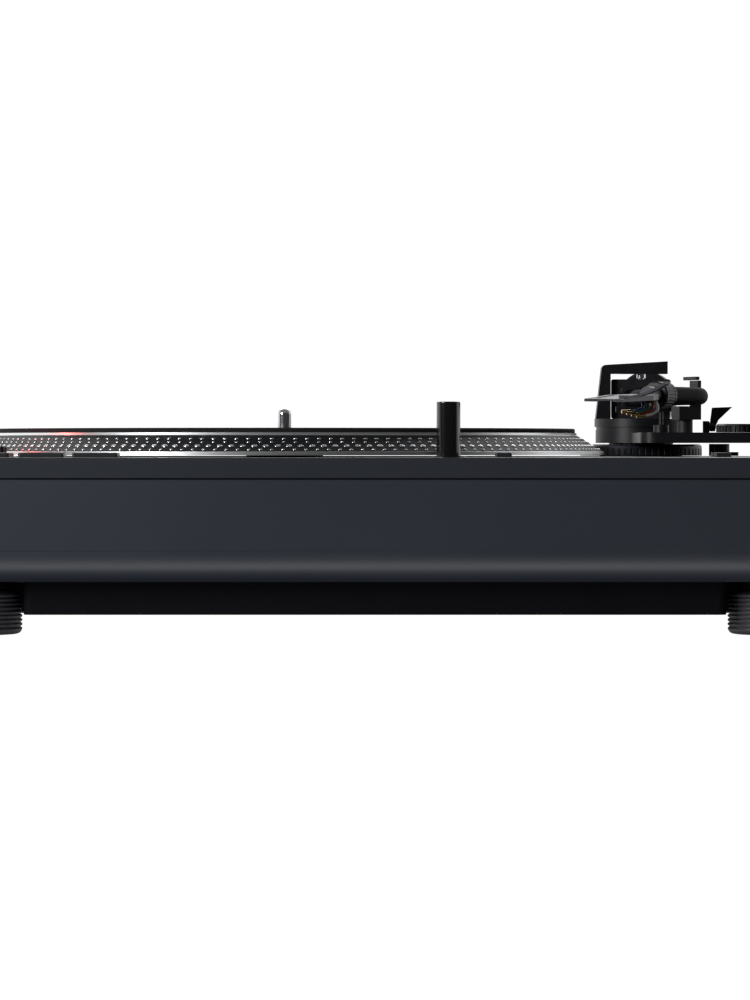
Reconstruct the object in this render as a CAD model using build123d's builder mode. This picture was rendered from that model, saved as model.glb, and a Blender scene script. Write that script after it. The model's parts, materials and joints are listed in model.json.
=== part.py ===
from build123d import *
import math
import os

# Direct-drive record player, in millimetres. +Z is up, +X right and +Y to the back.
# The origin is the centre of the footprint, on the surface that the feet stand on.

os.makedirs("parts", exist_ok=True)

# ---------------------------------------------------------------- casing sizes
body_width = 453.0
body_depth = 353.0
body_corner = 4.0
panel_top = 86.0  # height of the top panel's upper face
panel_plate = 5.0  # thickness of the panel's flat plate
panel_skirt = 9.8  # height of the panel's edge band
panel_wall = 6.0
panel_edge_round = 1.0
seam_gap = 1.0  # shadow gap between panel and cabinet
seam_inset = 1.6
face_bottom = 41.5  # where the cabinet's upright face ends and its lower edge rolls under
face_step = 0.5
shell_bottom = 26.0
roll_under = 13.5  # how far the lower edge runs inwards
cabinet_wall = 8.0
cabinet_floor = 6.0
base_bottom = 9.9
base_half_width = 170.0
base_half_depth = 157.0
base_wing = 205.0
base_wing_depth = 110.0
clearance = 0.3  # between parts that move past each other
running_fit = 0.05  # radial, on shafts and pins
button_gap = 0.4

# ---------------------------------------------------------------- feet
foot_x = 196.5
foot_y = 138.0
foot_radius = 24.5
foot_top = 21.0
foot_rib_pitch = 2.25
foot_rib_depth = 0.7
foot_rib_count = 8
foot_rib_start = 1.2  # above the bottom round
stud_gap = 2.0
foot_bottom_round = 3.0
foot_boss_bottom = 22.3
foot_boss_radius = 21.0
foot_boss_neck = 15.0
foot_boss_cap = 5.0
stud_radius = 5.0
stud_depth = 14.0

# ---------------------------------------------------------------- base cover screws
screw_radius = 3.0
screw_head_radius = 5.0
screw_head = 3.0
screw_columns = 3
screw_rows = 2
screw_pitch_x = 150.0
screw_pitch_y = 180.0
screw_hexagon = 2.0
base_corner = 4.0

# ---------------------------------------------------------------- sockets at the back
bay_centre_x = 95.0
bay_width = 110.0
bay_bottom = 46.0
bay_height = 22.0
bay_depth = 26.0
bay_wall = 3.0
inlet_x = -150.0
inlet_width = 30.0
inlet_height = 20.0
inlet_bottom = 46.0
inlet_depth = 20.0
inlet_well_depth = 11.0
inlet_pin_radius = 1.2
inlet_pin_pitch = 8.6
terminal_thickness = 2.0
rca_radius = 4.15
rca_length = 9.0
rca_pitch = 18.0
ground_radius = 2.0
ground_nut_radius = 4.5
inlet_sunk = 4.0  # how far the inlet's face stands inside the back
inlet_slot = (17.0, 10.0)
rca_seat = 2.0
rca_bore = 1.65
rca_offset = -22.0  # from the bay's centre
ground_offset = 32.0
ground_post = 14.0
ground_nut = (5.0, 7.0)  # where the nut starts on the post, and its height
ground_washer = 1.0

# ---------------------------------------------------------------- boards and transformer
post_radius = 3.5
board_thickness = 1.6
transformer_centre = (-138.0, 112.0)
transformer_size = (62.0, 52.0, 36.0)
power_board_centre = (-40.0, 130.0)
power_board_size = (110.0, 58.0)
power_board_height = 42.0
motor_board_size = 96.0
motor_board_height = 58.0
motor_board_hole = 28.0
control_board_centre = (-160.0, -140.0)
control_board_size = (100.0, 50.0)
control_board_height = 62.0
board_margin = 5.0
switch_height_on_board = 1.8
capacitor_radius = 9.0
capacitor_height = 14.0
capacitor_pitch = 28.0
switch_size = 6.0
transformer_round = 2.0

# ---------------------------------------------------------------- platter and motor
spindle_x = -47.0
spindle_radius = 3.62
spindle_rise = 25.0
spindle_shaft_radius = 5.0
spindle_bottom = 48.0
platter_radius = 166.0
platter_lift = 1.0
platter_lip = 1.6
platter_lip_step = 1.0
platter_top_radius = 151.6
platter_bevel_top = 11.0
platter_height = 12.1
platter_skin = 5.0
platter_rim_inner = 141.0
hub_radius = 20.0
hub_bottom = 2.5  # below the panel's upper face
mat_radius = 150.8
mat_thickness = 2.3
well_radius = 150.0
well_wall = 3.0
well_floor = 74.0
well_floor_thickness = 3.0
magnet_inner = 28.0
magnet_outer = 56.0
magnet_thickness = 5.0
coil_count = 9
coil_radius = 8.0
coil_ring_radius = 42.0
coil_height = 9.0
stator_radius = 62.0
stator_thickness = 2.0
bearing_radius = 12.0
bearing_flange_radius = 26.0
bearing_flange = 5.0
bearing_bottom = 44.0
bearing_top = 82.0

# ---------------------------------------------------------------- controls
button_rise = 2.3
button_travel = 1.5
button_thickness = 3.4
button_stem = 9.0
start_size = 30.0
start_centre = (-190.6, -157.0)
speed_button_width = 21.9
speed_button_depth = 20.0
speed_33_centre = (-160.3, -162.0)
speed_45_centre = (-134.35, -162.0)
small_button = 8.0
small_button_rise = 0.8
pitch_reset_centre = (171.0, -118.0)
pitch_range_centre = (171.0, -98.0)
lamp_release_centre = (62.0, -158.0)
strobe_centre = (-202.0, -121.0)
strobe_radius = 16.0
strobe_height = 11.0
strobe_window_width = 14.0
strobe_window_height = 5.0
strobe_window_thickness = 1.5
switch_radius = 21.0
switch_height = 5.6
switch_clearance = 0.4
lamp_centre = (35.5, -155.0)
lamp_radius = 5.8
lamp_rise = 27.0
lamp_bottom = 61.0
lamp_lens_radius = 1.8
lamp_lens_drop = 4.6
sleeve_wall = 2.0
sleeve_bottom = 50.0
sleeve_flange = 0.6
pitch_centre = (198.0, -98.0)
pitch_travel = 50.0
pitch_slot_width = 4.0
pitch_track_width = 22.0
pitch_track_end = 8.0
pitch_track_thickness = 1.5
pitch_knob_width = 16.0
pitch_knob_length = 10.0
pitch_knob_height = 7.5
pitch_lever_width = 2.6
fader_width = 14.0
fader_top = 74.0
fader_height = 14.0
adapter_centre = (-192.0, 142.0)
adapter_radius = 19.0
adapter_height = 7.0
adapter_recess = 3.0
window_face = 15.0
grip_count = 24
grip_radius = 0.9
button_corner = 1.0
button_round = 0.5
window_border = 1.0
pitch_lever_length = 5.0
pitch_knob_taper = 8.0
adapter_edge = 1.2

# ---------------------------------------------------------------- tonearm
pivot = (144.5, 98.5)
arm_height = 31.0  # arm axis above the panel
rest_angle = 8.0  # pivot to stylus, left of straight ahead
tube_radius = 4.4
tube_bore = 3.6
tube_straight = 45.0
bend_point = (170.5, -32.0)
bend_back_radius = 60.0
bend_front_radius = 40.0
head_yaw = 30.0
collar_point = (140.0, -84.8)
base_ring_radius = 22.4
height_ring_radius = 33.0
height_ring_height = 6.4
drum_radius = 24.7
drum_top = 14.2
column_radius = 17.4
column_drop = 4.0
plate_bottom = 7.1
plate_top = 12.5
yoke_radius = 25.3
yoke_neck_radius = 24.4
yoke_neck = 1.6
yoke_slab_top = 20.2
yoke_depth = 12.0
yoke_arch_bottom = 44.6
yoke_arch_top = 51.4
yoke_reach = 14.1
yoke_left = 21.5
yoke_post_foot = 24.8
yoke_arch_slope = 2.0
yoke_arch_round = 2.5
ring_width = 32.0
ring_height = 21.4
ring_depth = 8.0
ring_bar = 4.5
pivot_pin_radius = 1.5
pivot_screw_radius = 2.0
weight_radius = 15.5
weight_start = 33.0
weight_length = 24.0
weight_bush_radius = 6.0
stub_radius = 4.0
stub_length = 65.0
dial_ring_radius = 12.0
dial_ring_length = 3.8
collar_radius = 6.75
collar_length = 12.0
shell_length = 57.0
shell_width = 21.0
shell_rear_width = 13.0
shell_web = 2.0
shell_rim = 2.6
shell_top = 0.6
slot_spacing = 12.7
slot_width = 2.6
slot_length = 22.0
rest_along = 64.0
rest_length = 10.0
rest_wall = 2.0
rest_top = 39.4
lifter_centre = (151.3, 38.0)
lifter_travel = 4.0
lifter_rod_radius = 1.1
lifter_guide_radius = 4.1
lever_pivot = (176.0, 8.0)
lever_pivot_height = 15.5
lock_centre = (184.0, 62.0)
anti_skate_centre = (198.0, 45.0)
anti_skate_radius = 17.0
anti_skate_height = 4.4
plate_left = 137.0
plate_right = 216.0
plate_front = -20.0
guide_top = 16.6
lever_hub_length = 3.0
lever_pin_radius = 1.0
ear_thickness = 3.0
ear_width = 6.0
yoke_back = 14.0
pin_reach = 3.4
rest_floor = 7.0
rest_left = -5.5
clip_thickness = 1.8
clip_width = 3.2
clip_length = 13.0
clip_hub = 1.6
lifter_bar = 2.6
ring_corner = 1.2
block_width = 17.0
block_length = 12.0
block_height = 10.0
shell_neck = 9.0
plug_length = 8.0
boss_radius = 4.2
lift_thickness = 1.2
lift_width = 5.0
wire_radius = 0.5
clip_sleeve = 0.9
wire_offsets = (-4.2, -1.4, 1.4, 4.2)
plate_right_back = 66.0
plate_back = (178.0, 82.0)
plate_left_back = 70.0
plate_corner = 8.0
column_wall = 4.0
pivot_head_radius = 2.4
pivot_head_gap = 0.6
screw_sunk = 0.8
lifter_bar_size = (30.0, 3.6)
lifter_bar_shift = -9.0
lever_hub_radius = 2.4
lever_tab = ((-1.5, 0.0), (-0.2, 10.0), (10.4, 10.4), (3.2, 3.6), (1.5, 0.0))
lever_thickness = 1.8
lock_hub_radius = 5.5
lock_tab = (10.0, 7.0, 2.0)
rest_post_radius = 4.0
shell_shoulder = 14.0  # length over which the headshell widens
shell_pocket_wall = 1.5
slot_from_nose = 16.0
nose_taper = 24.0
nose_thinning = 1.2
nose_dip = 2.2  # degrees that the headshell points down
lift_from_nose = 8.0
lift_inset = 5.0
lift_bend = 12.5
lift_reach = 31.0
lift_rise = 7.0
wire_reach = 13.0
wire_sag = 6.5
wire_clip_length = 5.0
knurls_height_ring = (60, 0.8, 0.4)  # count, groove radius, and how far outside the rim its centre is
knurls_anti_skate = (40, 0.9, 0.3)
knurls_collar = (24, 0.6, 0.35)
knurls_dial = (36, 0.8, 0.4)
bush_overhang = 1.2

# ---------------------------------------------------------------- values worked out from those
panel_bottom = panel_top - panel_skirt
panel_underside = panel_top - panel_plate
cabinet_top = panel_bottom - seam_gap
cabinet_inside = shell_bottom + cabinet_floor
inner_width = body_width - 2 * cabinet_wall
inner_depth = body_depth - 2 * cabinet_wall
arm_z = panel_top + arm_height
foot_places = {
    "front_left": (-foot_x, -foot_y),
    "front_right": (foot_x, -foot_y),
    "back_left": (-foot_x, foot_y),
    "back_right": (foot_x, foot_y),
}
rest_cos = math.cos(math.radians(rest_angle))
rest_sin = math.sin(math.radians(rest_angle))
yaw_cos = math.cos(math.radians(head_yaw))
yaw_sin = math.sin(math.radians(head_yaw))

# Planes of the arm: local X to the right, local Y backwards along the arm, local Z up.
arm_plane = Plane(
    origin=(pivot[0], pivot[1], arm_z), x_dir=(rest_cos, -rest_sin, 0), z_dir=(0, 0, 1)
)
head_plane = Plane(
    origin=(collar_point[0], collar_point[1], arm_z), x_dir=(yaw_cos, -yaw_sin, 0), z_dir=(0, 0, 1)
)
# Cross-sections of the arm: local Z of these planes runs backwards along the arm.
arm_section = Plane(
    origin=(pivot[0], pivot[1], arm_z), x_dir=(rest_cos, -rest_sin, 0), z_dir=(rest_sin, rest_cos, 0)
)
head_section = Plane(
    origin=(collar_point[0], collar_point[1], arm_z),
    x_dir=(yaw_cos, -yaw_sin, 0),
    z_dir=(yaw_sin, yaw_cos, 0),
)
# The straight stretch of the tube between its two bends, where the arm rest stands.
tube_corner = (pivot[0] - tube_straight * rest_sin, pivot[1] - tube_straight * rest_cos)
run_x = bend_point[0] - tube_corner[0]
run_y = bend_point[1] - tube_corner[1]
run_length = math.hypot(run_x, run_y)
rest_plane = Plane(
    origin=(
        tube_corner[0] + run_x / run_length * rest_along,
        tube_corner[1] + run_y / run_length * rest_along,
        panel_top,
    ),
    x_dir=(-run_y / run_length, run_x / run_length, 0),
    z_dir=(0, 0, 1),
)


def edge_profile(half, bottom, top, step, inset):
    """Half of the cabinet's outline: an upright side whose lower edge rolls inwards."""
    Polyline((0, top), (half - inset, top))
    Polyline((half - inset, top), (half - inset, cabinet_top), (half, cabinet_top), (half, face_bottom))
    Line((half, face_bottom), (half - step, face_bottom - step))
    middle = (half - step - 0.25 * roll_under, bottom + 0.33 * (face_bottom - bottom))
    ThreePointArc((half - step, face_bottom - step), middle, (half - roll_under, bottom))
    Polyline((half - roll_under, bottom), (0, bottom), (0, top))


# ================================================================ casing
# Top panel: a die-cast plate with a skirt, and a round cup below it that holds the motor.
with BuildPart() as top_panel:
    with BuildSketch(Plane.XY.offset(panel_bottom)):
        RectangleRounded(body_width, body_depth, body_corner)
    extrude(amount=panel_skirt)
    fillet(top_panel.faces().sort_by(Axis.Z)[-1].edges(), panel_edge_round)
    with BuildSketch(Plane.XY.offset(panel_bottom)):
        Rectangle(body_width - 2 * panel_wall, body_depth - 2 * panel_wall)
    extrude(amount=panel_skirt - panel_plate, mode=Mode.SUBTRACT)
    with BuildSketch(Plane.XY.offset(well_floor - well_floor_thickness)):
        with Locations((spindle_x, 0)):
            Circle(well_radius + well_wall)
    extrude(amount=panel_underside - well_floor + well_floor_thickness)
    with BuildSketch(Plane.XY.offset(well_floor)):
        with Locations((spindle_x, 0)):
            Circle(well_radius)
    extrude(amount=panel_top - well_floor, mode=Mode.SUBTRACT)
    with BuildSketch(Plane.XY.offset(panel_top)):
        with Locations(start_centre):
            Rectangle(start_size + 2 * button_gap, start_size + 2 * button_gap)
        with Locations(speed_33_centre, speed_45_centre):
            Rectangle(speed_button_width + 2 * button_gap, speed_button_depth + 2 * button_gap)
        with Locations(pitch_reset_centre, pitch_range_centre, lamp_release_centre):
            Rectangle(small_button + 2 * button_gap, small_button + 2 * button_gap)
        with Locations(pitch_centre):
            Rectangle(
                pitch_slot_width + 2 * button_gap,
                2 * pitch_travel + pitch_knob_length,
            )
        with Locations(lamp_centre):
            Circle(lamp_radius + running_fit + sleeve_wall)
        with Locations(pivot):
            Circle(column_radius + clearance)
    extrude(amount=-(panel_top - well_floor + well_floor_thickness), mode=Mode.SUBTRACT)
    with BuildSketch(Plane.XY.offset(well_floor)):
        with Locations((spindle_x, 0)):
            Circle(bearing_radius + running_fit)
    extrude(amount=-well_floor_thickness, mode=Mode.SUBTRACT)
    with BuildSketch(Plane.XY.offset(panel_top)):
        with Locations(pitch_centre):
            Rectangle(pitch_track_width, 2 * (pitch_travel + pitch_track_end + pitch_knob_length / 2))
    extrude(amount=-pitch_track_thickness, mode=Mode.SUBTRACT)
    with BuildSketch(Plane.XY.offset(panel_top)):
        with Locations(adapter_centre):
            Circle(adapter_radius + clearance)
    extrude(amount=-adapter_recess, mode=Mode.SUBTRACT)
top_panel.part.label = "top_panel"
export_step(top_panel.part, "parts/top_panel.step")

# Lower cabinet: moulded walls and floor, with the lower edge rolled under.
with BuildPart() as lower_cabinet:
    with BuildSketch(Plane.XZ):
        with BuildLine():
            edge_profile(body_width / 2, shell_bottom, panel_bottom, face_step, seam_inset)
        make_face()
        mirror(about=Plane.YZ)
    extrude(amount=body_depth / 2, both=True)
    with BuildSketch(Plane.YZ):
        with BuildLine():
            edge_profile(body_depth / 2, shell_bottom, panel_bottom, face_step, seam_inset)
        make_face()
        mirror(about=Plane.YZ)
    extrude(amount=body_width / 2, both=True, mode=Mode.INTERSECT)
    with BuildSketch(Plane.XY.offset(shell_bottom)):
        RectangleRounded(body_width, body_depth, body_corner)
    extrude(amount=panel_bottom - shell_bottom, mode=Mode.INTERSECT)
    with BuildSketch(Plane.XY.offset(cabinet_inside)):
        RectangleRounded(inner_width, inner_depth, body_corner)
    extrude(amount=panel_top - cabinet_inside, mode=Mode.SUBTRACT)
    # walls round the two recesses in the back
    with BuildSketch(Plane.XY.offset(inlet_bottom - bay_wall)):
        with Locations((bay_centre_x, body_depth / 2 - (bay_depth + bay_wall) / 2 - seam_inset)):
            Rectangle(bay_width + 2 * bay_wall, bay_depth + bay_wall - 2 * seam_inset)
        with Locations((inlet_x, body_depth / 2 - (inlet_depth + bay_wall) / 2 - seam_inset)):
            Rectangle(inlet_width + 2 * bay_wall, inlet_depth + bay_wall - 2 * seam_inset)
    extrude(amount=bay_height + 2 * bay_wall)
    with BuildSketch(Plane.XZ.offset(-body_depth / 2)):
        with Locations((bay_centre_x, bay_bottom + bay_height / 2)):
            Rectangle(bay_width, bay_height)
    extrude(amount=bay_depth, mode=Mode.SUBTRACT)
    with BuildSketch(Plane.XZ.offset(-body_depth / 2)):
        with Locations((inlet_x, inlet_bottom + inlet_height / 2)):
            Rectangle(inlet_width, inlet_height)
    extrude(amount=inlet_depth + bay_wall + seam_inset, mode=Mode.SUBTRACT)
    # bosses that carry the feet
    for place in foot_places.values():
        with Locations((place[0], place[1], foot_boss_bottom)):
            Cone(
                foot_boss_radius,
                foot_boss_neck,
                foot_boss_radius - foot_boss_neck,
                align=(Align.CENTER, Align.CENTER, Align.MIN),
            )
            Cylinder(
                foot_boss_neck,
                cabinet_inside - foot_boss_bottom + foot_boss_cap,
                align=(Align.CENTER, Align.CENTER, Align.MIN),
            )
    for place in foot_places.values():
        with Locations((place[0], place[1], foot_boss_bottom)):
            Cylinder(
                stud_radius,
                stud_depth - (foot_boss_bottom - foot_top),
                align=(Align.CENTER, Align.CENTER, Align.MIN),
                mode=Mode.SUBTRACT,
            )
    # posts under the boards
    with BuildSketch(Plane.XY.offset(cabinet_inside)):
        with Locations(power_board_centre):
            with GridLocations(
                power_board_size[0] - 2 * board_margin, power_board_size[1] - 2 * board_margin, 2, 2
            ):
                Circle(post_radius)
    extrude(amount=power_board_height - cabinet_inside)
    with BuildSketch(Plane.XY.offset(cabinet_inside)):
        with Locations(control_board_centre):
            with GridLocations(
                control_board_size[0] - 2 * board_margin, control_board_size[1] - 2 * board_margin, 2, 2
            ):
                Circle(post_radius)
    extrude(amount=control_board_height - cabinet_inside)
    with BuildSketch(Plane.XY.offset(cabinet_inside)):
        with Locations((spindle_x, 0)):
            with GridLocations(
                motor_board_size - 2 * board_margin, motor_board_size - 2 * board_margin, 2, 2
            ):
                Circle(post_radius)
    extrude(amount=motor_board_height - cabinet_inside)
lower_cabinet.part.label = "lower_cabinet"
export_step(lower_cabinet.part, "parts/lower_cabinet.step")

# Base cover: a heavy slab under the cabinet, cut back at the corners for the feet.
with BuildPart() as base_cover:
    with BuildSketch(Plane.XY.offset(base_bottom)) as base_outline:
        Rectangle(2 * base_half_width, 2 * base_half_depth)
        Rectangle(2 * base_wing, 2 * base_wing_depth)
        fillet(base_outline.vertices(), base_corner)
    extrude(amount=shell_bottom - base_bottom)
    with BuildSketch(Plane.XY.offset(base_bottom)):
        with GridLocations(screw_pitch_x, screw_pitch_y, screw_columns, screw_rows):
            Circle(screw_head_radius)
    extrude(amount=screw_head, mode=Mode.SUBTRACT)
    with BuildSketch(Plane.XY.offset(base_bottom)):
        with GridLocations(screw_pitch_x, screw_pitch_y, screw_columns, screw_rows):
            Circle(screw_radius)
    extrude(amount=shell_bottom - base_bottom, mode=Mode.SUBTRACT)
base_cover.part.label = "base_cover"
export_step(base_cover.part, "parts/base_cover.step")

# Screws that hold the base cover: a head in its counterbore and a shank up to the cabinet floor.
with BuildPart() as cabinet_screws:
    with BuildSketch(Plane.XY.offset(base_bottom)):
        with GridLocations(screw_pitch_x, screw_pitch_y, screw_columns, screw_rows):
            Circle(screw_head_radius)
            RegularPolygon(screw_hexagon, 6, mode=Mode.SUBTRACT)
    extrude(amount=screw_head)
    with BuildSketch(Plane.XY.offset(base_bottom + screw_head)):
        with GridLocations(screw_pitch_x, screw_pitch_y, screw_columns, screw_rows):
            Circle(screw_radius)
    extrude(amount=shell_bottom - base_bottom - screw_head)
cabinet_screws.part.label = "cabinet_screws"
export_step(cabinet_screws.part, "parts/cabinet_screws.step")

# Feet: each turns on a stud that is fixed in the cabinet, and its side has turned ribs.
with BuildPart() as foot_studs:
    with BuildSketch(Plane.XY.offset(foot_top - stud_depth + stud_gap)):
        with Locations(*foot_places.values()):
            Circle(stud_radius)
    extrude(amount=2 * stud_depth - stud_gap)
foot_studs.part.label = "foot_studs"
export_step(foot_studs.part, "parts/foot_studs.step")

for side, place in foot_places.items():
    with BuildPart(Plane(origin=(place[0], place[1], 0))) as foot:
        Cylinder(foot_radius, foot_top, align=(Align.CENTER, Align.CENTER, Align.MIN))
        fillet(foot.faces().sort_by(Axis.Z)[0].edges(), foot_bottom_round)
        for rib in range(foot_rib_count):
            with Locations((0, 0, foot_bottom_round + foot_rib_start + rib * foot_rib_pitch)):
                Torus(foot_radius, foot_rib_depth, mode=Mode.SUBTRACT)
        with Locations((0, 0, foot_top)):
            Cylinder(
                stud_radius + running_fit,
                stud_depth - stud_gap + clearance,
                align=(Align.CENTER, Align.CENTER, Align.MAX),
                mode=Mode.SUBTRACT,
            )
    foot.part.label = f"foot_{side}"
    export_step(foot.part, f"parts/foot_{side}.step")

# ================================================================ motor
with BuildPart() as bearing_housing:
    with BuildSketch(Plane.XY.offset(bearing_bottom)):
        with Locations((spindle_x, 0)):
            Circle(bearing_radius)
    extrude(amount=bearing_top - bearing_bottom)
    with BuildSketch(Plane.XY.offset(well_floor - well_floor_thickness - bearing_flange)):
        with Locations((spindle_x, 0)):
            Circle(bearing_flange_radius)
    extrude(amount=bearing_flange)
    with BuildSketch(Plane.XY.offset(spindle_bottom - clearance)):
        with Locations((spindle_x, 0)):
            Circle(spindle_shaft_radius + running_fit)
    extrude(amount=bearing_top - spindle_bottom + clearance, mode=Mode.SUBTRACT)
bearing_housing.part.label = "bearing_housing"
export_step(bearing_housing.part, "parts/bearing_housing.step")

with BuildPart() as stator_plate:
    with BuildSketch(Plane.XY.offset(well_floor)):
        with Locations((spindle_x, 0)):
            Circle(stator_radius)
            Circle(bearing_radius + running_fit, mode=Mode.SUBTRACT)
    extrude(amount=stator_thickness)
stator_plate.part.label = "stator_plate"
export_step(stator_plate.part, "parts/stator_plate.step")

with BuildPart() as stator_coils:
    with BuildSketch(Plane.XY.offset(well_floor + stator_thickness)):
        with Locations((spindle_x, 0)):
            with PolarLocations(coil_ring_radius, coil_count):
                Circle(coil_radius)
                Circle(coil_radius / 3, mode=Mode.SUBTRACT)
    extrude(amount=coil_height)
stator_coils.part.label = "stator_coils"
export_step(stator_coils.part, "parts/stator_coils.step")

with BuildPart() as motor_board:
    with BuildSketch(Plane.XY.offset(motor_board_height)):
        with Locations((spindle_x, 0)):
            Rectangle(motor_board_size, motor_board_size)
            Circle(motor_board_hole, mode=Mode.SUBTRACT)
    extrude(amount=board_thickness)
motor_board.part.label = "motor_board"
export_step(motor_board.part, "parts/motor_board.step")

# ================================================================ platter
platter_bottom = panel_top + platter_lift
platter_top = panel_top + platter_height
spindle_tip = panel_top + spindle_rise
underside = platter_top - platter_skin
lip_top = platter_bottom + platter_lip
ring_top = panel_top + platter_bevel_top
with BuildPart(Plane(origin=(spindle_x, 0, 0))) as platter:
    with BuildSketch(Plane(origin=(spindle_x, 0, 0), x_dir=(1, 0, 0), z_dir=(0, -1, 0))):
        with BuildLine():
            Polyline(
                (spindle_shaft_radius, panel_top - hub_bottom),
                (hub_radius, panel_top - hub_bottom),
                (hub_radius, underside),
                (platter_rim_inner, underside),
                (platter_rim_inner, platter_bottom),
                (platter_radius, platter_bottom),
                (platter_radius, lip_top),
                (platter_radius - platter_lip_step, lip_top),
                (platter_radius - platter_lip_step, lip_top + 0.2),
                (platter_top_radius, ring_top),
                (platter_top_radius, platter_top),
                (spindle_shaft_radius, platter_top),
                close=True,
            )
        make_face()
    revolve(axis=Axis((spindle_x, 0, 0), (0, 0, 1)))
platter.part.label = "platter"
export_step(platter.part, "parts/platter.step")

with BuildPart() as platter_mat:
    with BuildSketch(Plane.XY.offset(platter_top)):
        with Locations((spindle_x, 0)):
            Circle(mat_radius)
            Circle(spindle_shaft_radius + clearance, mode=Mode.SUBTRACT)
    extrude(amount=mat_thickness)
    fillet(platter_mat.faces().sort_by(Axis.Z)[-1].edges().sort_by(SortBy.LENGTH)[-1], 0.8)
platter_mat.part.label = "platter_mat"
export_step(platter_mat.part, "parts/platter_mat.step")

# The shoulder of the pin stops just under the top of the mat, so that a record lies flat on the mat.
spindle_shoulder = platter_top + mat_thickness - clearance

with BuildPart() as spindle:
    with BuildSketch(Plane.XY.offset(spindle_bottom)):
        with Locations((spindle_x, 0)):
            Circle(spindle_shaft_radius)
    extrude(amount=spindle_shoulder - spindle_bottom)
    with BuildSketch(Plane.XY.offset(spindle_shoulder)):
        with Locations((spindle_x, 0)):
            Circle(spindle_radius)
    extrude(amount=spindle_tip - spindle_shoulder)
    fillet(spindle.faces().sort_by(Axis.Z)[-1].edges(), spindle_radius * 0.8)
spindle.part.label = "spindle"
export_step(spindle.part, "parts/spindle.step")

with BuildPart() as rotor_magnet:
    with BuildSketch(Plane.XY.offset(underside - magnet_thickness)):
        with Locations((spindle_x, 0)):
            Circle(magnet_outer)
            Circle(magnet_inner, mode=Mode.SUBTRACT)
    extrude(amount=magnet_thickness)
rotor_magnet.part.label = "rotor_magnet"
export_step(rotor_magnet.part, "parts/rotor_magnet.step")

# ================================================================ electrics
with BuildPart() as transformer:
    with BuildSketch(Plane.XY.offset(cabinet_inside)):
        with Locations(transformer_centre):
            Rectangle(transformer_size[0], transformer_size[1])
    extrude(amount=transformer_size[2])
    fillet(transformer.edges().filter_by(Axis.Z), transformer_round)
transformer.part.label = "transformer"
export_step(transformer.part, "parts/transformer.step")

with BuildPart() as power_board:
    with BuildSketch(Plane.XY.offset(power_board_height)):
        with Locations(power_board_centre):
            Rectangle(*power_board_size)
    extrude(amount=board_thickness)
    with BuildSketch(Plane.XY.offset(power_board_height + board_thickness)):
        with Locations(power_board_centre):
            with GridLocations(capacitor_pitch, 0, 3, 1):
                Circle(capacitor_radius)
    extrude(amount=capacitor_height)
power_board.part.label = "power_board"
export_step(power_board.part, "parts/power_board.step")

with BuildPart() as control_board:
    with BuildSketch(Plane.XY.offset(control_board_height)):
        with Locations(control_board_centre):
            Rectangle(*control_board_size)
    extrude(amount=board_thickness)
    with BuildSketch(Plane.XY.offset(control_board_height + board_thickness)):
        with Locations(start_centre, speed_33_centre, speed_45_centre):
            Rectangle(switch_size, switch_size)
    extrude(amount=switch_height_on_board)
control_board.part.label = "control_board"
export_step(control_board.part, "parts/control_board.step")

terminal_face = body_depth / 2 - bay_depth + terminal_thickness
terminal_height = bay_bottom + bay_height / 2
rca_centre_x = bay_centre_x + rca_offset
ground_x = bay_centre_x + ground_offset
terminal_plane = Plane(origin=(0, terminal_face, 0), x_dir=(-1, 0, 0), z_dir=(0, 1, 0))
with BuildPart() as terminal_panel:
    with BuildSketch(terminal_plane):
        with Locations((-bay_centre_x, terminal_height)):
            Rectangle(bay_width, bay_height)
    extrude(amount=-terminal_thickness)
terminal_panel.part.label = "terminal_panel"
export_step(terminal_panel.part, "parts/terminal_panel.step")

# Phono sockets: a hexagonal seat, a barrel that the plug slides over, and a bore for its pin.
with BuildPart() as rca_sockets:
    with BuildSketch(terminal_plane):
        with Locations((-rca_centre_x, terminal_height)):
            with GridLocations(rca_pitch, 0, 2, 1):
                RegularPolygon(rca_radius + rca_seat, 6)
    extrude(amount=rca_seat)
    with BuildSketch(terminal_plane.offset(rca_seat)):
        with Locations((-rca_centre_x, terminal_height)):
            with GridLocations(rca_pitch, 0, 2, 1):
                Circle(rca_radius)
    extrude(amount=rca_length)
    with BuildSketch(terminal_plane.offset(rca_seat)):
        with Locations((-rca_centre_x, terminal_height)):
            with GridLocations(rca_pitch, 0, 2, 1):
                Circle(rca_bore)
    extrude(amount=rca_length, mode=Mode.SUBTRACT)
rca_sockets.part.label = "rca_sockets"
export_step(rca_sockets.part, "parts/rca_sockets.step")

with BuildPart() as ground_terminal:
    with BuildSketch(terminal_plane):
        with Locations((-ground_x, terminal_height)):
            Circle(ground_radius)
    extrude(amount=ground_post)
    with BuildSketch(terminal_plane.offset(ground_nut[0])):
        with Locations((-ground_x, terminal_height)):
            Circle(ground_nut_radius)
    extrude(amount=ground_nut[1])
    with BuildSketch(terminal_plane):
        with Locations((-ground_x, terminal_height)):
            Circle(ground_nut_radius + ground_washer)
    extrude(amount=ground_washer)
ground_terminal.part.label = "ground_terminal"
export_step(ground_terminal.part, "parts/ground_terminal.step")

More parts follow.
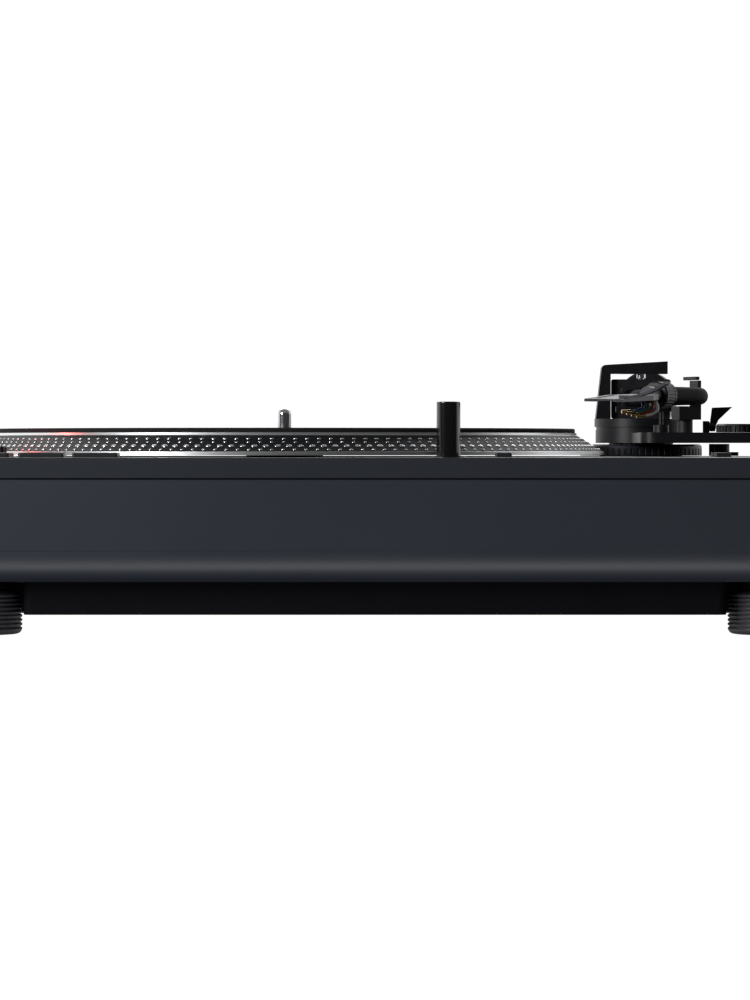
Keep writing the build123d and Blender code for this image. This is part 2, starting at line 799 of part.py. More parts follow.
# Mains inlet: a two-pin appliance inlet with an oblong well.
inlet_face = body_depth / 2 - inlet_sunk
inlet_plane = Plane(
    origin=(inlet_x, inlet_face, inlet_bottom + inlet_height / 2), x_dir=(-1, 0, 0), z_dir=(0, 1, 0)
)
with BuildPart() as mains_inlet:
    with BuildSketch(inlet_plane):
        Rectangle(inlet_width, inlet_height)
    extrude(amount=-(inlet_depth - inlet_sunk))
    with BuildSketch(inlet_plane):
        SlotOverall(*inlet_slot)
    extrude(amount=-inlet_well_depth, mode=Mode.SUBTRACT)
    with BuildSketch(inlet_plane.offset(-inlet_well_depth)):
        with GridLocations(inlet_pin_pitch, 0, 2, 1):
            Circle(inlet_pin_radius)
    extrude(amount=inlet_well_depth - 2.0)
mains_inlet.part.label = "mains_inlet"
export_step(mains_inlet.part, "parts/mains_inlet.step")

# ================================================================ buttons and switches
small_top = small_button_rise + button_travel
stem_bottom = control_board_height + board_thickness + switch_height_on_board + button_travel + clearance
button_places = {
    "start_stop_button": (start_centre, start_size, start_size, button_rise),
    "speed_33_button": (speed_33_centre, speed_button_width, speed_button_depth, button_rise),
    "speed_45_button": (speed_45_centre, speed_button_width, speed_button_depth, button_rise),
    "pitch_reset_button": (pitch_reset_centre, small_button, small_button, small_top),
    "pitch_range_button": (pitch_range_centre, small_button, small_button, small_top),
    "lamp_release_button": (lamp_release_centre, small_button, small_button, small_top),
}
for name, (centre, width, depth, rise) in button_places.items():
    top = panel_top + rise
    with BuildPart() as button:
        with BuildSketch(Plane.XY.offset(top - button_thickness)):
            with Locations(centre):
                RectangleRounded(width, depth, button_corner)
        extrude(amount=button_thickness)
        fillet(button.faces().sort_by(Axis.Z)[-1].edges(), button_round)
        with BuildSketch(Plane.XY.offset(stem_bottom)):
            with Locations(centre):
                Rectangle(min(button_stem, width - 2), min(button_stem, depth - 2))
        extrude(amount=top - button_thickness - stem_bottom)
    button.part.label = name
    export_step(button.part, f"parts/{name}.step")

# Strobe housing: a short turret whose window faces the platter's edge.
platter_bearing = math.degrees(math.atan2(-strobe_centre[1], spindle_x - strobe_centre[0]))
window_plane = Plane(
    origin=(strobe_centre[0], strobe_centre[1], panel_top),
    x_dir=(math.cos(math.radians(platter_bearing)), math.sin(math.radians(platter_bearing)), 0),
    z_dir=(0, 0, 1),
)
window_middle = switch_height + switch_clearance + strobe_window_height / 2
with BuildPart(window_plane) as strobe_housing:
    Cylinder(strobe_radius, strobe_height, align=(Align.CENTER, Align.CENTER, Align.MIN))
    fillet(strobe_housing.faces().sort_by(Axis.Z)[-1].edges(), 1.2)
    with Locations((window_face, 0, 0)):
        Box(
            10.0,
            2 * strobe_radius,
            strobe_height,
            align=(Align.MIN, Align.CENTER, Align.MIN),
            mode=Mode.SUBTRACT,
        )
    with Locations((window_face, 0, window_middle)):
        Box(
            strobe_window_thickness,
            strobe_window_width,
            strobe_window_height - window_border,
            align=(Align.MAX, Align.CENTER, Align.CENTER),
            mode=Mode.SUBTRACT,
        )
strobe_housing.part.label = "strobe_housing"
export_step(strobe_housing.part, "parts/strobe_housing.step")

with BuildPart(window_plane) as strobe_lens:
    with Locations((window_face, 0, window_middle)):
        Box(
            strobe_window_thickness,
            strobe_window_width,
            strobe_window_height - window_border,
            align=(Align.MAX, Align.CENTER, Align.CENTER),
        )
strobe_lens.part.label = "strobe_lens"
export_step(strobe_lens.part, "parts/strobe_lens.step")

# Power switch: a ribbed ring that turns round the strobe housing.
with BuildPart(window_plane) as power_switch:
    with Locations((0, 0, clearance)):
        Cylinder(switch_radius, switch_height - clearance, align=(Align.CENTER, Align.CENTER, Align.MIN))
    fillet(power_switch.faces().sort_by(Axis.Z)[-1].edges(), 0.8)
    with Locations((0, 0, clearance)):
        Cylinder(
            strobe_radius + 2 * running_fit,
            switch_height,
            align=(Align.CENTER, Align.CENTER, Align.MIN),
            mode=Mode.SUBTRACT,
        )
        with PolarLocations(switch_radius, grip_count):
            Cylinder(
                grip_radius,
                switch_height,
                align=(Align.CENTER, Align.CENTER, Align.MIN),
                mode=Mode.SUBTRACT,
            )
power_switch.part.label = "power_switch"
export_step(power_switch.part, "parts/power_switch.step")

# Pop-up lamp: a tube that slides in a sleeve, with a small lens near its top.
lamp_top = panel_top + lamp_rise
lens_bearing = math.atan2(-lamp_centre[1], spindle_x - lamp_centre[0])
lens_plane = Plane(
    origin=(lamp_centre[0], lamp_centre[1], lamp_top - lamp_lens_drop),
    x_dir=(0, 0, 1),
    z_dir=(math.cos(lens_bearing), math.sin(lens_bearing), 0),
)
with BuildPart() as lamp_sleeve:
    with BuildSketch(Plane.XY.offset(sleeve_bottom)):
        with Locations(lamp_centre):
            Circle(lamp_radius + running_fit + sleeve_wall)
            Circle(lamp_radius + running_fit, mode=Mode.SUBTRACT)
    extrude(amount=panel_top - sleeve_bottom)
    with BuildSketch(Plane.XY.offset(panel_top)):
        with Locations(lamp_centre):
            Circle(lamp_radius + sleeve_wall + 1.0)
            Circle(lamp_radius + running_fit, mode=Mode.SUBTRACT)
    extrude(amount=sleeve_flange)
lamp_sleeve.part.label = "lamp_sleeve"
export_step(lamp_sleeve.part, "parts/lamp_sleeve.step")

with BuildPart() as target_lamp:
    with BuildSketch(Plane.XY.offset(lamp_bottom)):
        with Locations(lamp_centre):
            Circle(lamp_radius)
    extrude(amount=lamp_top - lamp_bottom)
    fillet(target_lamp.faces().sort_by(Axis.Z)[-1].edges(), 0.6)
    with BuildSketch(lens_plane):
        Circle(lamp_lens_radius)
    extrude(amount=lamp_radius + 1.0, mode=Mode.SUBTRACT)
target_lamp.part.label = "target_lamp"
export_step(target_lamp.part, "parts/target_lamp.step")

with BuildPart() as target_lamp_lens:
    with BuildSketch(lens_plane):
        Circle(lamp_lens_radius)
    extrude(amount=lamp_radius - 0.6)
    fillet(target_lamp_lens.edges().sort_by_distance(lens_plane.origin)[-1], 0.4)
target_lamp_lens.part.label = "target_lamp_lens"
export_step(target_lamp_lens.part, "parts/target_lamp_lens.step")

# Pitch fader: a slotted track in the panel, the fader below it and the knob on its lever.
pitch_length = 2 * pitch_travel + pitch_knob_length
with BuildPart() as pitch_track:
    with BuildSketch(Plane.XY.offset(panel_top - pitch_track_thickness)):
        with Locations(pitch_centre):
            Rectangle(pitch_track_width, pitch_length + 2 * pitch_track_end)
            Rectangle(pitch_slot_width, pitch_length - 2.0, mode=Mode.SUBTRACT)
    extrude(amount=pitch_track_thickness)
pitch_track.part.label = "pitch_track"
export_step(pitch_track.part, "parts/pitch_track.step")

with BuildPart() as pitch_fader_body:
    with BuildSketch(Plane.XY.offset(fader_top - fader_height)):
        with Locations(pitch_centre):
            Rectangle(fader_width, pitch_length + 12.0)
    extrude(amount=fader_height)
    with BuildSketch(Plane.XY.offset(fader_top)):
        with Locations(pitch_centre):
            Rectangle(pitch_slot_width, pitch_length)
    extrude(amount=-fader_height / 2, mode=Mode.SUBTRACT)
    with BuildSketch(Plane.XY.offset(fader_top)):
        with Locations(pitch_centre):
            with GridLocations(0, pitch_length + 6.0, 1, 2):
                Rectangle(fader_width, 5.0)
    extrude(amount=panel_underside - fader_top)
pitch_fader_body.part.label = "pitch_fader_body"
export_step(pitch_fader_body.part, "parts/pitch_fader_body.step")

with BuildPart() as pitch_knob:
    with BuildSketch(Plane.XY.offset(panel_top + clearance)):
        with Locations(pitch_centre):
            Rectangle(pitch_knob_width, pitch_knob_length)
    extrude(amount=pitch_knob_height, taper=pitch_knob_taper)
    fillet(pitch_knob.faces().sort_by(Axis.Z)[-1].edges(), 0.8)
    with BuildSketch(Plane.XY.offset(fader_top - fader_height / 2 + clearance)):
        with Locations(pitch_centre):
            Rectangle(pitch_lever_width, pitch_lever_length)
    extrude(amount=panel_top - fader_top + fader_height / 2)
pitch_knob.part.label = "pitch_knob"
export_step(pitch_knob.part, "parts/pitch_knob.step")

# Adapter for records with a large centre hole, standing loose in its recess.
adapter_plane = Plane(origin=(adapter_centre[0], adapter_centre[1], panel_top - adapter_recess))
with BuildPart(adapter_plane) as adapter_45:
    Cylinder(adapter_radius, adapter_height, align=(Align.CENTER, Align.CENTER, Align.MIN))
    chamfer(adapter_45.faces().sort_by(Axis.Z)[-1].edges(), adapter_edge)
    Cylinder(
        spindle_radius + 2 * running_fit,
        adapter_height,
        align=(Align.CENTER, Align.CENTER, Align.MIN),
        mode=Mode.SUBTRACT,
    )
adapter_45.part.label = "adapter_45"
export_step(adapter_45.part, "parts/adapter_45.step")

# ================================================================ tonearm base
with BuildPart() as arm_base_ring:
    with BuildSketch(Plane.XY.offset(panel_top)):
        with Locations(pivot):
            Circle(base_ring_radius)
            Circle(column_radius + running_fit, mode=Mode.SUBTRACT)
    extrude(amount=height_ring_height - clearance)
arm_base_ring.part.label = "arm_base_ring"
export_step(arm_base_ring.part, "parts/arm_base_ring.step")

with BuildPart(Plane(origin=(pivot[0], pivot[1], panel_top + clearance))) as height_ring:
    Cylinder(
        height_ring_radius, height_ring_height - clearance, align=(Align.CENTER, Align.CENTER, Align.MIN)
    )
    chamfer(height_ring.faces().sort_by(Axis.Z)[-1].edges(), 1.0)
    Cylinder(
        base_ring_radius + running_fit,
        height_ring_height,
        align=(Align.CENTER, Align.CENTER, Align.MIN),
        mode=Mode.SUBTRACT,
    )
    with PolarLocations(height_ring_radius + knurls_height_ring[2], knurls_height_ring[0]):
        Cylinder(
            knurls_height_ring[1],
            height_ring_height - 2 * clearance - 2.0,
            align=(Align.CENTER, Align.CENTER, Align.MIN),
            mode=Mode.SUBTRACT,
        )
height_ring.part.label = "height_ring"
export_step(height_ring.part, "parts/height_ring.step")

# Base plate: a drum on a column that slides in the base ring, with a wide plate to its right.
ear_top = lever_pivot_height + lever_hub_length
guide_floor = plate_bottom + 1.0
ear_x = lever_pivot[0] - lever_hub_length / 2 - clearance
with BuildPart() as arm_base_plate:
    with BuildSketch(Plane.XY.offset(panel_top + plate_bottom)) as plate_outline:
        Polygon(
            (plate_left, plate_front),
            (plate_right, plate_front),
            (plate_right, plate_right_back),
            plate_back,
            pivot,
            (plate_left, plate_left_back),
            align=None,
        )
        fillet(plate_outline.vertices().group_by(Axis.Y)[0], plate_corner)
        fillet(plate_outline.vertices().sort_by(Axis.X)[-1], plate_corner)
        with Locations(pivot):
            Circle(drum_radius)
    extrude(amount=plate_top - plate_bottom)
    with BuildSketch(Plane.XY.offset(panel_top + plate_bottom)):
        with Locations(pivot):
            Circle(drum_radius)
    extrude(amount=drum_top - plate_bottom)
    with BuildSketch(Plane.XY.offset(panel_top - column_drop)):
        with Locations(pivot):
            Circle(column_radius)
    extrude(amount=plate_bottom + column_drop)
    with BuildSketch(Plane.XY.offset(panel_top - column_drop)):
        with Locations(pivot):
            Circle(column_radius - column_wall)
    extrude(amount=plate_bottom + column_drop, mode=Mode.SUBTRACT)
    with BuildSketch(Plane.XY.offset(panel_top + plate_top)):
        with Locations(lifter_centre):
            Circle(lifter_guide_radius)
    extrude(amount=guide_top - plate_top)
    with BuildSketch(Plane.XY.offset(panel_top + guide_floor)):
        with Locations(lifter_centre):
            Circle(lifter_rod_radius + running_fit)
    extrude(amount=guide_top - guide_floor, mode=Mode.SUBTRACT)
    # ear and pin that carry the cue lever
    with Locations((ear_x, lever_pivot[1], panel_top + plate_top)):
        Box(
            ear_thickness,
            ear_width,
            ear_top - plate_top,
            align=(Align.MAX, Align.CENTER, Align.MIN),
        )
    with Locations((lever_pivot[0], lever_pivot[1], panel_top + lever_pivot_height)):
        Cylinder(lever_pin_radius, lever_hub_length + 2 * clearance, rotation=(0, 90, 0))
arm_base_plate.part.label = "arm_base_plate"
export_step(arm_base_plate.part, "parts/arm_base_plate.step")

# Lock lever under the plate: a hub on the panel, a stepped block and a finger tab.
with BuildPart() as lock_lever:
    with BuildSketch(Plane.XY.offset(panel_top + clearance)):
        with Locations(lock_centre):
            Circle(lock_hub_radius)
        with Locations((lock_centre[0] + lock_tab[0] / 2, lock_centre[1])):
            Rectangle(lock_tab[0], lock_tab[1])
    extrude(amount=lock_tab[2])
    with BuildSketch(Plane.XY.offset(panel_top + clearance)):
        with Locations(lock_centre):
            Circle(lock_hub_radius)
    extrude(amount=plate_bottom - 2.5 * clearance)
lock_lever.part.label = "lock_lever"
export_step(lock_lever.part, "parts/lock_lever.step")

# Yoke: a slab on the drum, a post at the left and an arch that reaches over the pivot.
yoke_plane = Plane(origin=(pivot[0], pivot[1], panel_top), x_dir=(1, 0, 0), z_dir=(0, -1, 0))
slab_bottom = drum_top + yoke_neck
ring_sweep = math.hypot(ring_width / 2, ring_depth / 2) + clearance
with BuildPart() as gimbal_yoke:
    with BuildSketch(Plane(origin=(pivot[0], pivot[1], panel_top + slab_bottom))):
        Circle(yoke_radius)
        with Locations((0, yoke_back)):
            Rectangle(2 * yoke_radius, 2 * yoke_radius, align=(Align.CENTER, Align.MIN), mode=Mode.SUBTRACT)
    extrude(amount=yoke_slab_top - slab_bottom)
    with BuildSketch(Plane(origin=(pivot[0], pivot[1], panel_top + drum_top))):
        Circle(yoke_neck_radius)
        with Locations((0, yoke_back)):
            Rectangle(2 * yoke_radius, 2 * yoke_radius, align=(Align.CENTER, Align.MIN), mode=Mode.SUBTRACT)
    extrude(amount=yoke_neck)
    with BuildSketch(yoke_plane) as arch:
        Polygon(
            (-yoke_post_foot, yoke_slab_top),
            (-yoke_left, yoke_arch_top - yoke_arch_slope),
            (yoke_reach, yoke_arch_top),
            (yoke_reach, yoke_arch_bottom),
            (-ring_sweep, yoke_arch_bottom),
            (-ring_sweep, yoke_slab_top),
            align=None,
        )
        fillet(arch.vertices().sort_by(Axis.X)[1], yoke_arch_round)
    extrude(amount=yoke_depth / 2, both=True)
    with BuildSketch(Plane(origin=(pivot[0], pivot[1], panel_top + drum_top))):
        Circle(pivot_screw_radius + running_fit)
    extrude(amount=yoke_arch_top, mode=Mode.SUBTRACT)
gimbal_yoke.part.label = "gimbal_yoke"
export_step(gimbal_yoke.part, "parts/gimbal_yoke.step")

# Pivot screws: one through the arch and one in the slab, each with a pin that the ring turns on.
ring_top_z = ring_height / 2
arch_local = yoke_arch_bottom - arm_height
slab_local = yoke_slab_top - arm_height
with BuildPart(Plane(origin=(pivot[0], pivot[1], arm_z))) as pivot_screws:
    with Locations((0, 0, ring_top_z - pin_reach)):
        Cylinder(pivot_pin_radius, pin_reach + 1.0, align=(Align.CENTER, Align.CENTER, Align.MIN))
    with Locations((0, 0, ring_top_z + pivot_head_gap)):
        Cylinder(
            pivot_head_radius,
            arch_local - ring_top_z - pivot_head_gap,
            align=(Align.CENTER, Align.CENTER, Align.MIN),
        )
    with Locations((0, 0, arch_local)):
        Cylinder(
            pivot_screw_radius,
            yoke_arch_top - yoke_arch_bottom - screw_sunk,
            align=(Align.CENTER, Align.CENTER, Align.MIN),
        )
    with Locations((0, 0, slab_local)):
        Cylinder(
            pivot_pin_radius,
            pin_reach - slab_local - ring_top_z,
            align=(Align.CENTER, Align.CENTER, Align.MIN),
        )
        Cylinder(
            pivot_screw_radius,
            yoke_slab_top - slab_bottom,
            align=(Align.CENTER, Align.CENTER, Align.MAX),
        )
pivot_screws.part.label = "pivot_screws"
export_step(pivot_screws.part, "parts/pivot_screws.step")

# ================================================================ arm rest, lifter and levers
tube_bottom = arm_height - tube_radius
rest_floor_top = tube_bottom - 0.5
rest_wall_start = tube_radius + 0.5
with BuildPart(rest_plane) as arm_rest:
    with Locations((rest_left, 0, rest_floor_top)):
        Box(
            rest_wall_start + rest_wall - rest_left,
            rest_length,
            rest_floor,
            align=(Align.MIN, Align.CENTER, Align.MAX),
        )
    with Locations((rest_wall_start, 0, rest_floor_top - rest_floor)):
        Box(
            rest_wall,
            rest_length,
            rest_top - rest_floor_top + rest_floor,
            align=(Align.MIN, Align.CENTER, Align.MIN),
        )
    with Locations((0, 0, plate_top)):
        Cylinder(
            rest_post_radius,
            rest_floor_top - rest_floor - plate_top,
            align=(Align.CENTER, Align.CENTER, Align.MIN),
        )
arm_rest.part.label = "arm_rest"
export_step(arm_rest.part, "parts/arm_rest.step")

# Clip: a finger that lies along the rest's wall and turns over the tube.
with BuildPart(rest_plane) as arm_clip:
    with Locations((rest_wall_start + clip_hub, 0, rest_top + clearance)):
        Cylinder(clip_hub, clip_thickness, align=(Align.CENTER, Align.CENTER, Align.MIN))
        Box(
            clip_width,
            clip_length,
            clip_thickness,
            align=(Align.CENTER, Align.MIN, Align.MIN),
        )
arm_clip.part.label = "arm_clip"
export_step(arm_clip.part, "parts/arm_clip.step")

# Lifter: a polished rod in a damped guide, with a bar across the tube's path.
lifter_top = tube_bottom - 0.4
with BuildPart(Plane(origin=(lifter_centre[0], lifter_centre[1], panel_top))) as arm_lifter:
    with Locations((0, 0, guide_floor + lifter_travel + clearance)):
        Cylinder(
            lifter_rod_radius,
            lifter_top - guide_floor - lifter_travel - clearance,
            align=(Align.CENTER, Align.CENTER, Align.MIN),
        )
    with Locations((lifter_bar_shift, 0, lifter_top)):
        Box(*lifter_bar_size, lifter_bar, align=(Align.CENTER, Align.CENTER, Align.MAX))
arm_lifter.part.label = "arm_lifter"
export_step(arm_lifter.part, "parts/arm_lifter.step")

# Cue lever: a thin arm beside its pivot block, with a three-cornered finger tab at its top.
lever_origin = (lever_pivot[0], lever_pivot[1], panel_top + lever_pivot_height)
with BuildPart(Plane(origin=lever_origin)) as cue_lever:
    Cylinder(lever_hub_radius, lever_hub_length, rotation=(0, 90, 0))
    with BuildSketch(Plane(origin=lever_origin, x_dir=(1, 0, 0), z_dir=(0, -1, 0))):
        Polygon(*lever_tab, align=None)
    extrude(amount=lever_thickness / 2, both=True)
    Cylinder(
        lever_pin_radius + running_fit,
        lever_hub_length + 4 * clearance,
        rotation=(0, 90, 0),
        mode=Mode.SUBTRACT,
    )
cue_lever.part.label = "cue_lever"
export_step(cue_lever.part, "parts/cue_lever.step")

anti_skate_plane = Plane(origin=(anti_skate_centre[0], anti_skate_centre[1], panel_top + plate_top))
with BuildPart(anti_skate_plane) as anti_skate_dial:
    with Locations((0, 0, clearance)):
        Cylinder(anti_skate_radius, anti_skate_height, align=(Align.CENTER, Align.CENTER, Align.MIN))
    chamfer(anti_skate_dial.faces().sort_by(Axis.Z)[-1].edges(), 0.8)
    with PolarLocations(anti_skate_radius + knurls_anti_skate[2], knurls_anti_skate[0]):
        Cylinder(
            knurls_anti_skate[1],
            anti_skate_height - 0.8,
            align=(Align.CENTER, Align.CENTER, Align.MIN),
            mode=Mode.SUBTRACT,
        )
anti_skate_dial.part.label = "anti_skate_dial"
export_step(anti_skate_dial.part, "parts/anti_skate_dial.step")

# ================================================================ moving arm
with BuildPart(arm_plane) as gimbal_ring:
    with BuildSketch(arm_section):
        RectangleRounded(ring_width, ring_height, ring_corner)
        RectangleRounded(ring_width - 2 * ring_bar, ring_height - 2 * ring_bar, 1.0, mode=Mode.SUBTRACT)
    extrude(amount=ring_depth / 2, both=True)
    Cylinder(pivot_pin_radius + running_fit, ring_height, mode=Mode.SUBTRACT)
    Cylinder(
        pivot_pin_radius + running_fit,
        ring_width,
        rotation=(0, 90, 0),
        mode=Mode.SUBTRACT,
    )
gimbal_ring.part.label = "gimbal_ring"
export_step(gimbal_ring.part, "parts/gimbal_ring.step")

# Arm tube: bent to an S in plan, with the pivot block, its two side pins and the rear stub.
pin_length = ring_width / 2 - 0.8
tube_end = (collar_point[0], collar_point[1], arm_z)
with BuildPart() as arm_tube:
    with BuildLine() as tube_line:
        FilletPolyline(
            (pivot[0], pivot[1], arm_z),
            (tube_corner[0], tube_corner[1], arm_z),
            (bend_point[0], bend_point[1], arm_z),
            tube_end,
            radius=(bend_back_radius, bend_front_radius),
        )
    with BuildSketch(Plane(origin=tube_line.line @ 0, z_dir=tube_line.line % 0)):
        Circle(tube_radius)
    sweep()
    with BuildSketch(arm_section):
        RectangleRounded(block_width, block_height, 2.0)
    extrude(amount=block_length / 2, both=True)
    with BuildSketch(arm_section):
        Circle(stub_radius)
    extrude(amount=stub_length)
    fillet(arm_tube.faces().sort_by(Axis.Y)[-1].edges(), 1.0)
    with BuildSketch(Plane(origin=arm_plane.origin, x_dir=arm_plane.y_dir, z_dir=arm_plane.x_dir)):
        Circle(pivot_pin_radius)
    extrude(amount=pin_length, both=True)
    with BuildSketch(head_section):
        Circle(tube_bore)
    extrude(amount=20.0, mode=Mode.SUBTRACT)
arm_tube.part.label = "arm_tube"
export_step(arm_tube.part, "parts/arm_tube.step")

with BuildPart() as headshell_collar:
    with BuildSketch(head_section.offset(clearance)):
        Circle(collar_radius)
        Circle(tube_radius + running_fit, mode=Mode.SUBTRACT)
    extrude(amount=collar_length)
    chamfer(headshell_collar.faces().filter_by(GeomType.PLANE).edges().filter_by(
        lambda e: abs(e.radius - collar_radius) < 0.01), 0.7)
    with BuildSketch(head_section.offset(clearance + 2.0)):
        with PolarLocations(collar_radius + knurls_collar[2], knurls_collar[0]):
            Circle(knurls_collar[1])
    extrude(amount=collar_length - 4.0, mode=Mode.SUBTRACT)
headshell_collar.part.label = "headshell_collar"
export_step(headshell_collar.part, "parts/headshell_collar.step")

# Headshell: a channel that narrows to the rear, a boss, and a plug that enters the tube.
web_bottom = shell_top - shell_web
shell_plane = head_plane.rotated((nose_dip, 0, 0))
shoulder_y = -shell_neck - shell_shoulder
slot_y = -shell_length + slot_from_nose
with BuildPart(shell_plane) as headshell:
    with BuildSketch(shell_plane.offset(shell_top)):
        Polygon(
            (-shell_rear_width / 2, -shell_neck),
            (shell_rear_width / 2, -shell_neck),
            (shell_width / 2, shoulder_y),
            (shell_width / 2, -shell_length),
            (-shell_width / 2, -shell_length),
            (-shell_width / 2, shoulder_y),
            align=None,
        )
    extrude(amount=-shell_rim)
    with BuildSketch(shell_plane.offset(shell_top - shell_web)):
        with Locations((0, -(shell_neck + shell_length) / 2)):
            Rectangle(shell_rear_width - 2 * shell_pocket_wall, shell_length)
    extrude(amount=-shell_rim, mode=Mode.SUBTRACT)
    with BuildSketch(shell_plane.offset(shell_top)):
        with Locations((-slot_spacing / 2, slot_y), (slot_spacing / 2, slot_y)):
            SlotOverall(slot_length, slot_width, rotation=90)
    extrude(amount=-shell_rim - 1, mode=Mode.SUBTRACT)
    # the nose thins towards its front edge
    with BuildSketch(Plane(origin=shell_plane.origin, x_dir=shell_plane.y_dir, z_dir=shell_plane.x_dir)):
        Polygon(
            (-shell_length, shell_top),
            (-shell_length + nose_taper, shell_top),
            (-shell_length, shell_top - nose_thinning),
            align=None,
        )
    extrude(amount=shell_width, both=True, mode=Mode.SUBTRACT)
    with BuildSketch(head_section.offset(-clearance)):
        Circle(boss_radius)
    extrude(amount=-(shell_neck - clearance))
    with BuildSketch(head_section.offset(-clearance)):
        Circle(tube_bore - running_fit)
    extrude(amount=plug_length + clearance)
headshell.part.label = "headshell"
export_step(headshell.part, "parts/headshell.step")

# Finger lift: a strip that lies in the headshell's thinned nose and rises to the right.
lift_y = -shell_length + lift_from_nose
lift_seat = shell_top - nose_thinning * (nose_taper - lift_from_nose - lift_width / 2) / nose_taper
lift_plane = Plane(
    origin=shell_plane.from_local_coords(Vector(0, lift_y, lift_seat)),
    x_dir=shell_plane.x_dir,
    z_dir=-shell_plane.y_dir,
)
lift_root = shell_width / 2 - lift_inset
with BuildPart() as finger_lift:
    with BuildSketch(lift_plane):
        with BuildLine():
            Line((lift_root, 0), (lift_bend, 0))
            ThreePointArc((lift_bend, 0), (0.7 * lift_reach, 0.33 * lift_rise), (lift_reach, lift_rise))
            Line((lift_reach, lift_rise), (lift_reach - lift_thickness / 2, lift_rise + lift_thickness))
            ThreePointArc(
                (lift_reach - lift_thickness / 2, lift_rise + lift_thickness),
                (0.7 * lift_reach - 0.1 * lift_thickness, 0.33 * lift_rise + lift_thickness),
                (lift_bend, lift_thickness),
            )
            Polyline((lift_bend, lift_thickness), (lift_root, lift_thickness), (lift_root, 0))
        make_face()
    extrude(amount=lift_width / 2, both=True)
finger_lift.part.label = "finger_lift"
export_step(finger_lift.part, "parts/finger_lift.step")

# Lead wires: four short leads from the plug's pins, each ending in a small clip.
wire_start = -shell_neck - 1.0
wire_top = web_bottom - 1.2
with BuildPart() as headshell_wires:
    for offset in wire_offsets:
        middle_y = wire_start - wire_reach / 2
        end_y = wire_start - wire_reach
        start = shell_plane.from_local_coords(Vector(offset, wire_start, wire_top))
        dip = shell_plane.from_local_coords(Vector(1.1 * offset, middle_y, wire_top - 0.8 * wire_sag))
        end = shell_plane.from_local_coords(Vector(1.2 * offset, end_y, wire_top - wire_sag))
        with BuildLine() as wire_line:
            ThreePointArc(start, dip, end)
        with BuildSketch(Plane(origin=wire_line.line @ 0, z_dir=wire_line.line % 0)):
            Circle(wire_radius)
        sweep(path=wire_line.line)
        with BuildSketch(Plane(origin=wire_line.line @ 1, z_dir=wire_line.line % 1)):
            Circle(clip_sleeve)
        extrude(amount=wire_clip_length)
headshell_wires.part.label = "headshell_wires"
export_step(headshell_wires.part, "parts/headshell_wires.step")

# Counterweight: it turns on a threaded bush that slides along the stub, with a scale ring before it.
bush_start = weight_start - dial_ring_length - clearance - bush_overhang
bush_end = weight_start + weight_length + 3.0
with BuildPart() as weight_bush:
    with BuildSketch(arm_section.offset(bush_start)):
        Circle(weight_bush_radius)
        Circle(stub_radius + running_fit, mode=Mode.SUBTRACT)
    extrude(amount=bush_end - bush_start)
weight_bush.part.label = "weight_bush"
export_step(weight_bush.part, "parts/weight_bush.step")

with BuildPart() as counterweight:
    with BuildSketch(arm_section.offset(weight_start)):
        Circle(weight_radius)
        Circle(weight_bush_radius + running_fit, mode=Mode.SUBTRACT)
    extrude(amount=weight_length)
    chamfer(counterweight.edges().filter_by(
        lambda e: e.geom_type == GeomType.CIRCLE and abs(e.radius - weight_radius) < 0.01), 1.2)
counterweight.part.label = "counterweight"
export_step(counterweight.part, "parts/counterweight.step")

with BuildPart() as tracking_dial:
    with BuildSketch(arm_section.offset(weight_start - clearance - dial_ring_length)):
        Circle(dial_ring_radius)
        Circle(weight_bush_radius + running_fit, mode=Mode.SUBTRACT)
    extrude(amount=dial_ring_length)
    with BuildSketch(arm_section.offset(weight_start - clearance - dial_ring_length)):
        with PolarLocations(dial_ring_radius + knurls_dial[2], knurls_dial[0]):
            Circle(knurls_dial[1])
    extrude(amount=dial_ring_length - 1.0, mode=Mode.SUBTRACT)
tracking_dial.part.label = "tracking_dial"
export_step(tracking_dial.part, "parts/tracking_dial.step")
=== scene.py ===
# %% [markdown]
# # A record player in Blender
# This lesson dresses a finished mechanical model of a record player. The model comes in first, as a fixed
# frame, and everything that follows gives its parts their finish or adds fine detail that rides on them.

# %% Load the frame
import bpy
import bmesh
import json
import math
from mathutils import Matrix, Vector


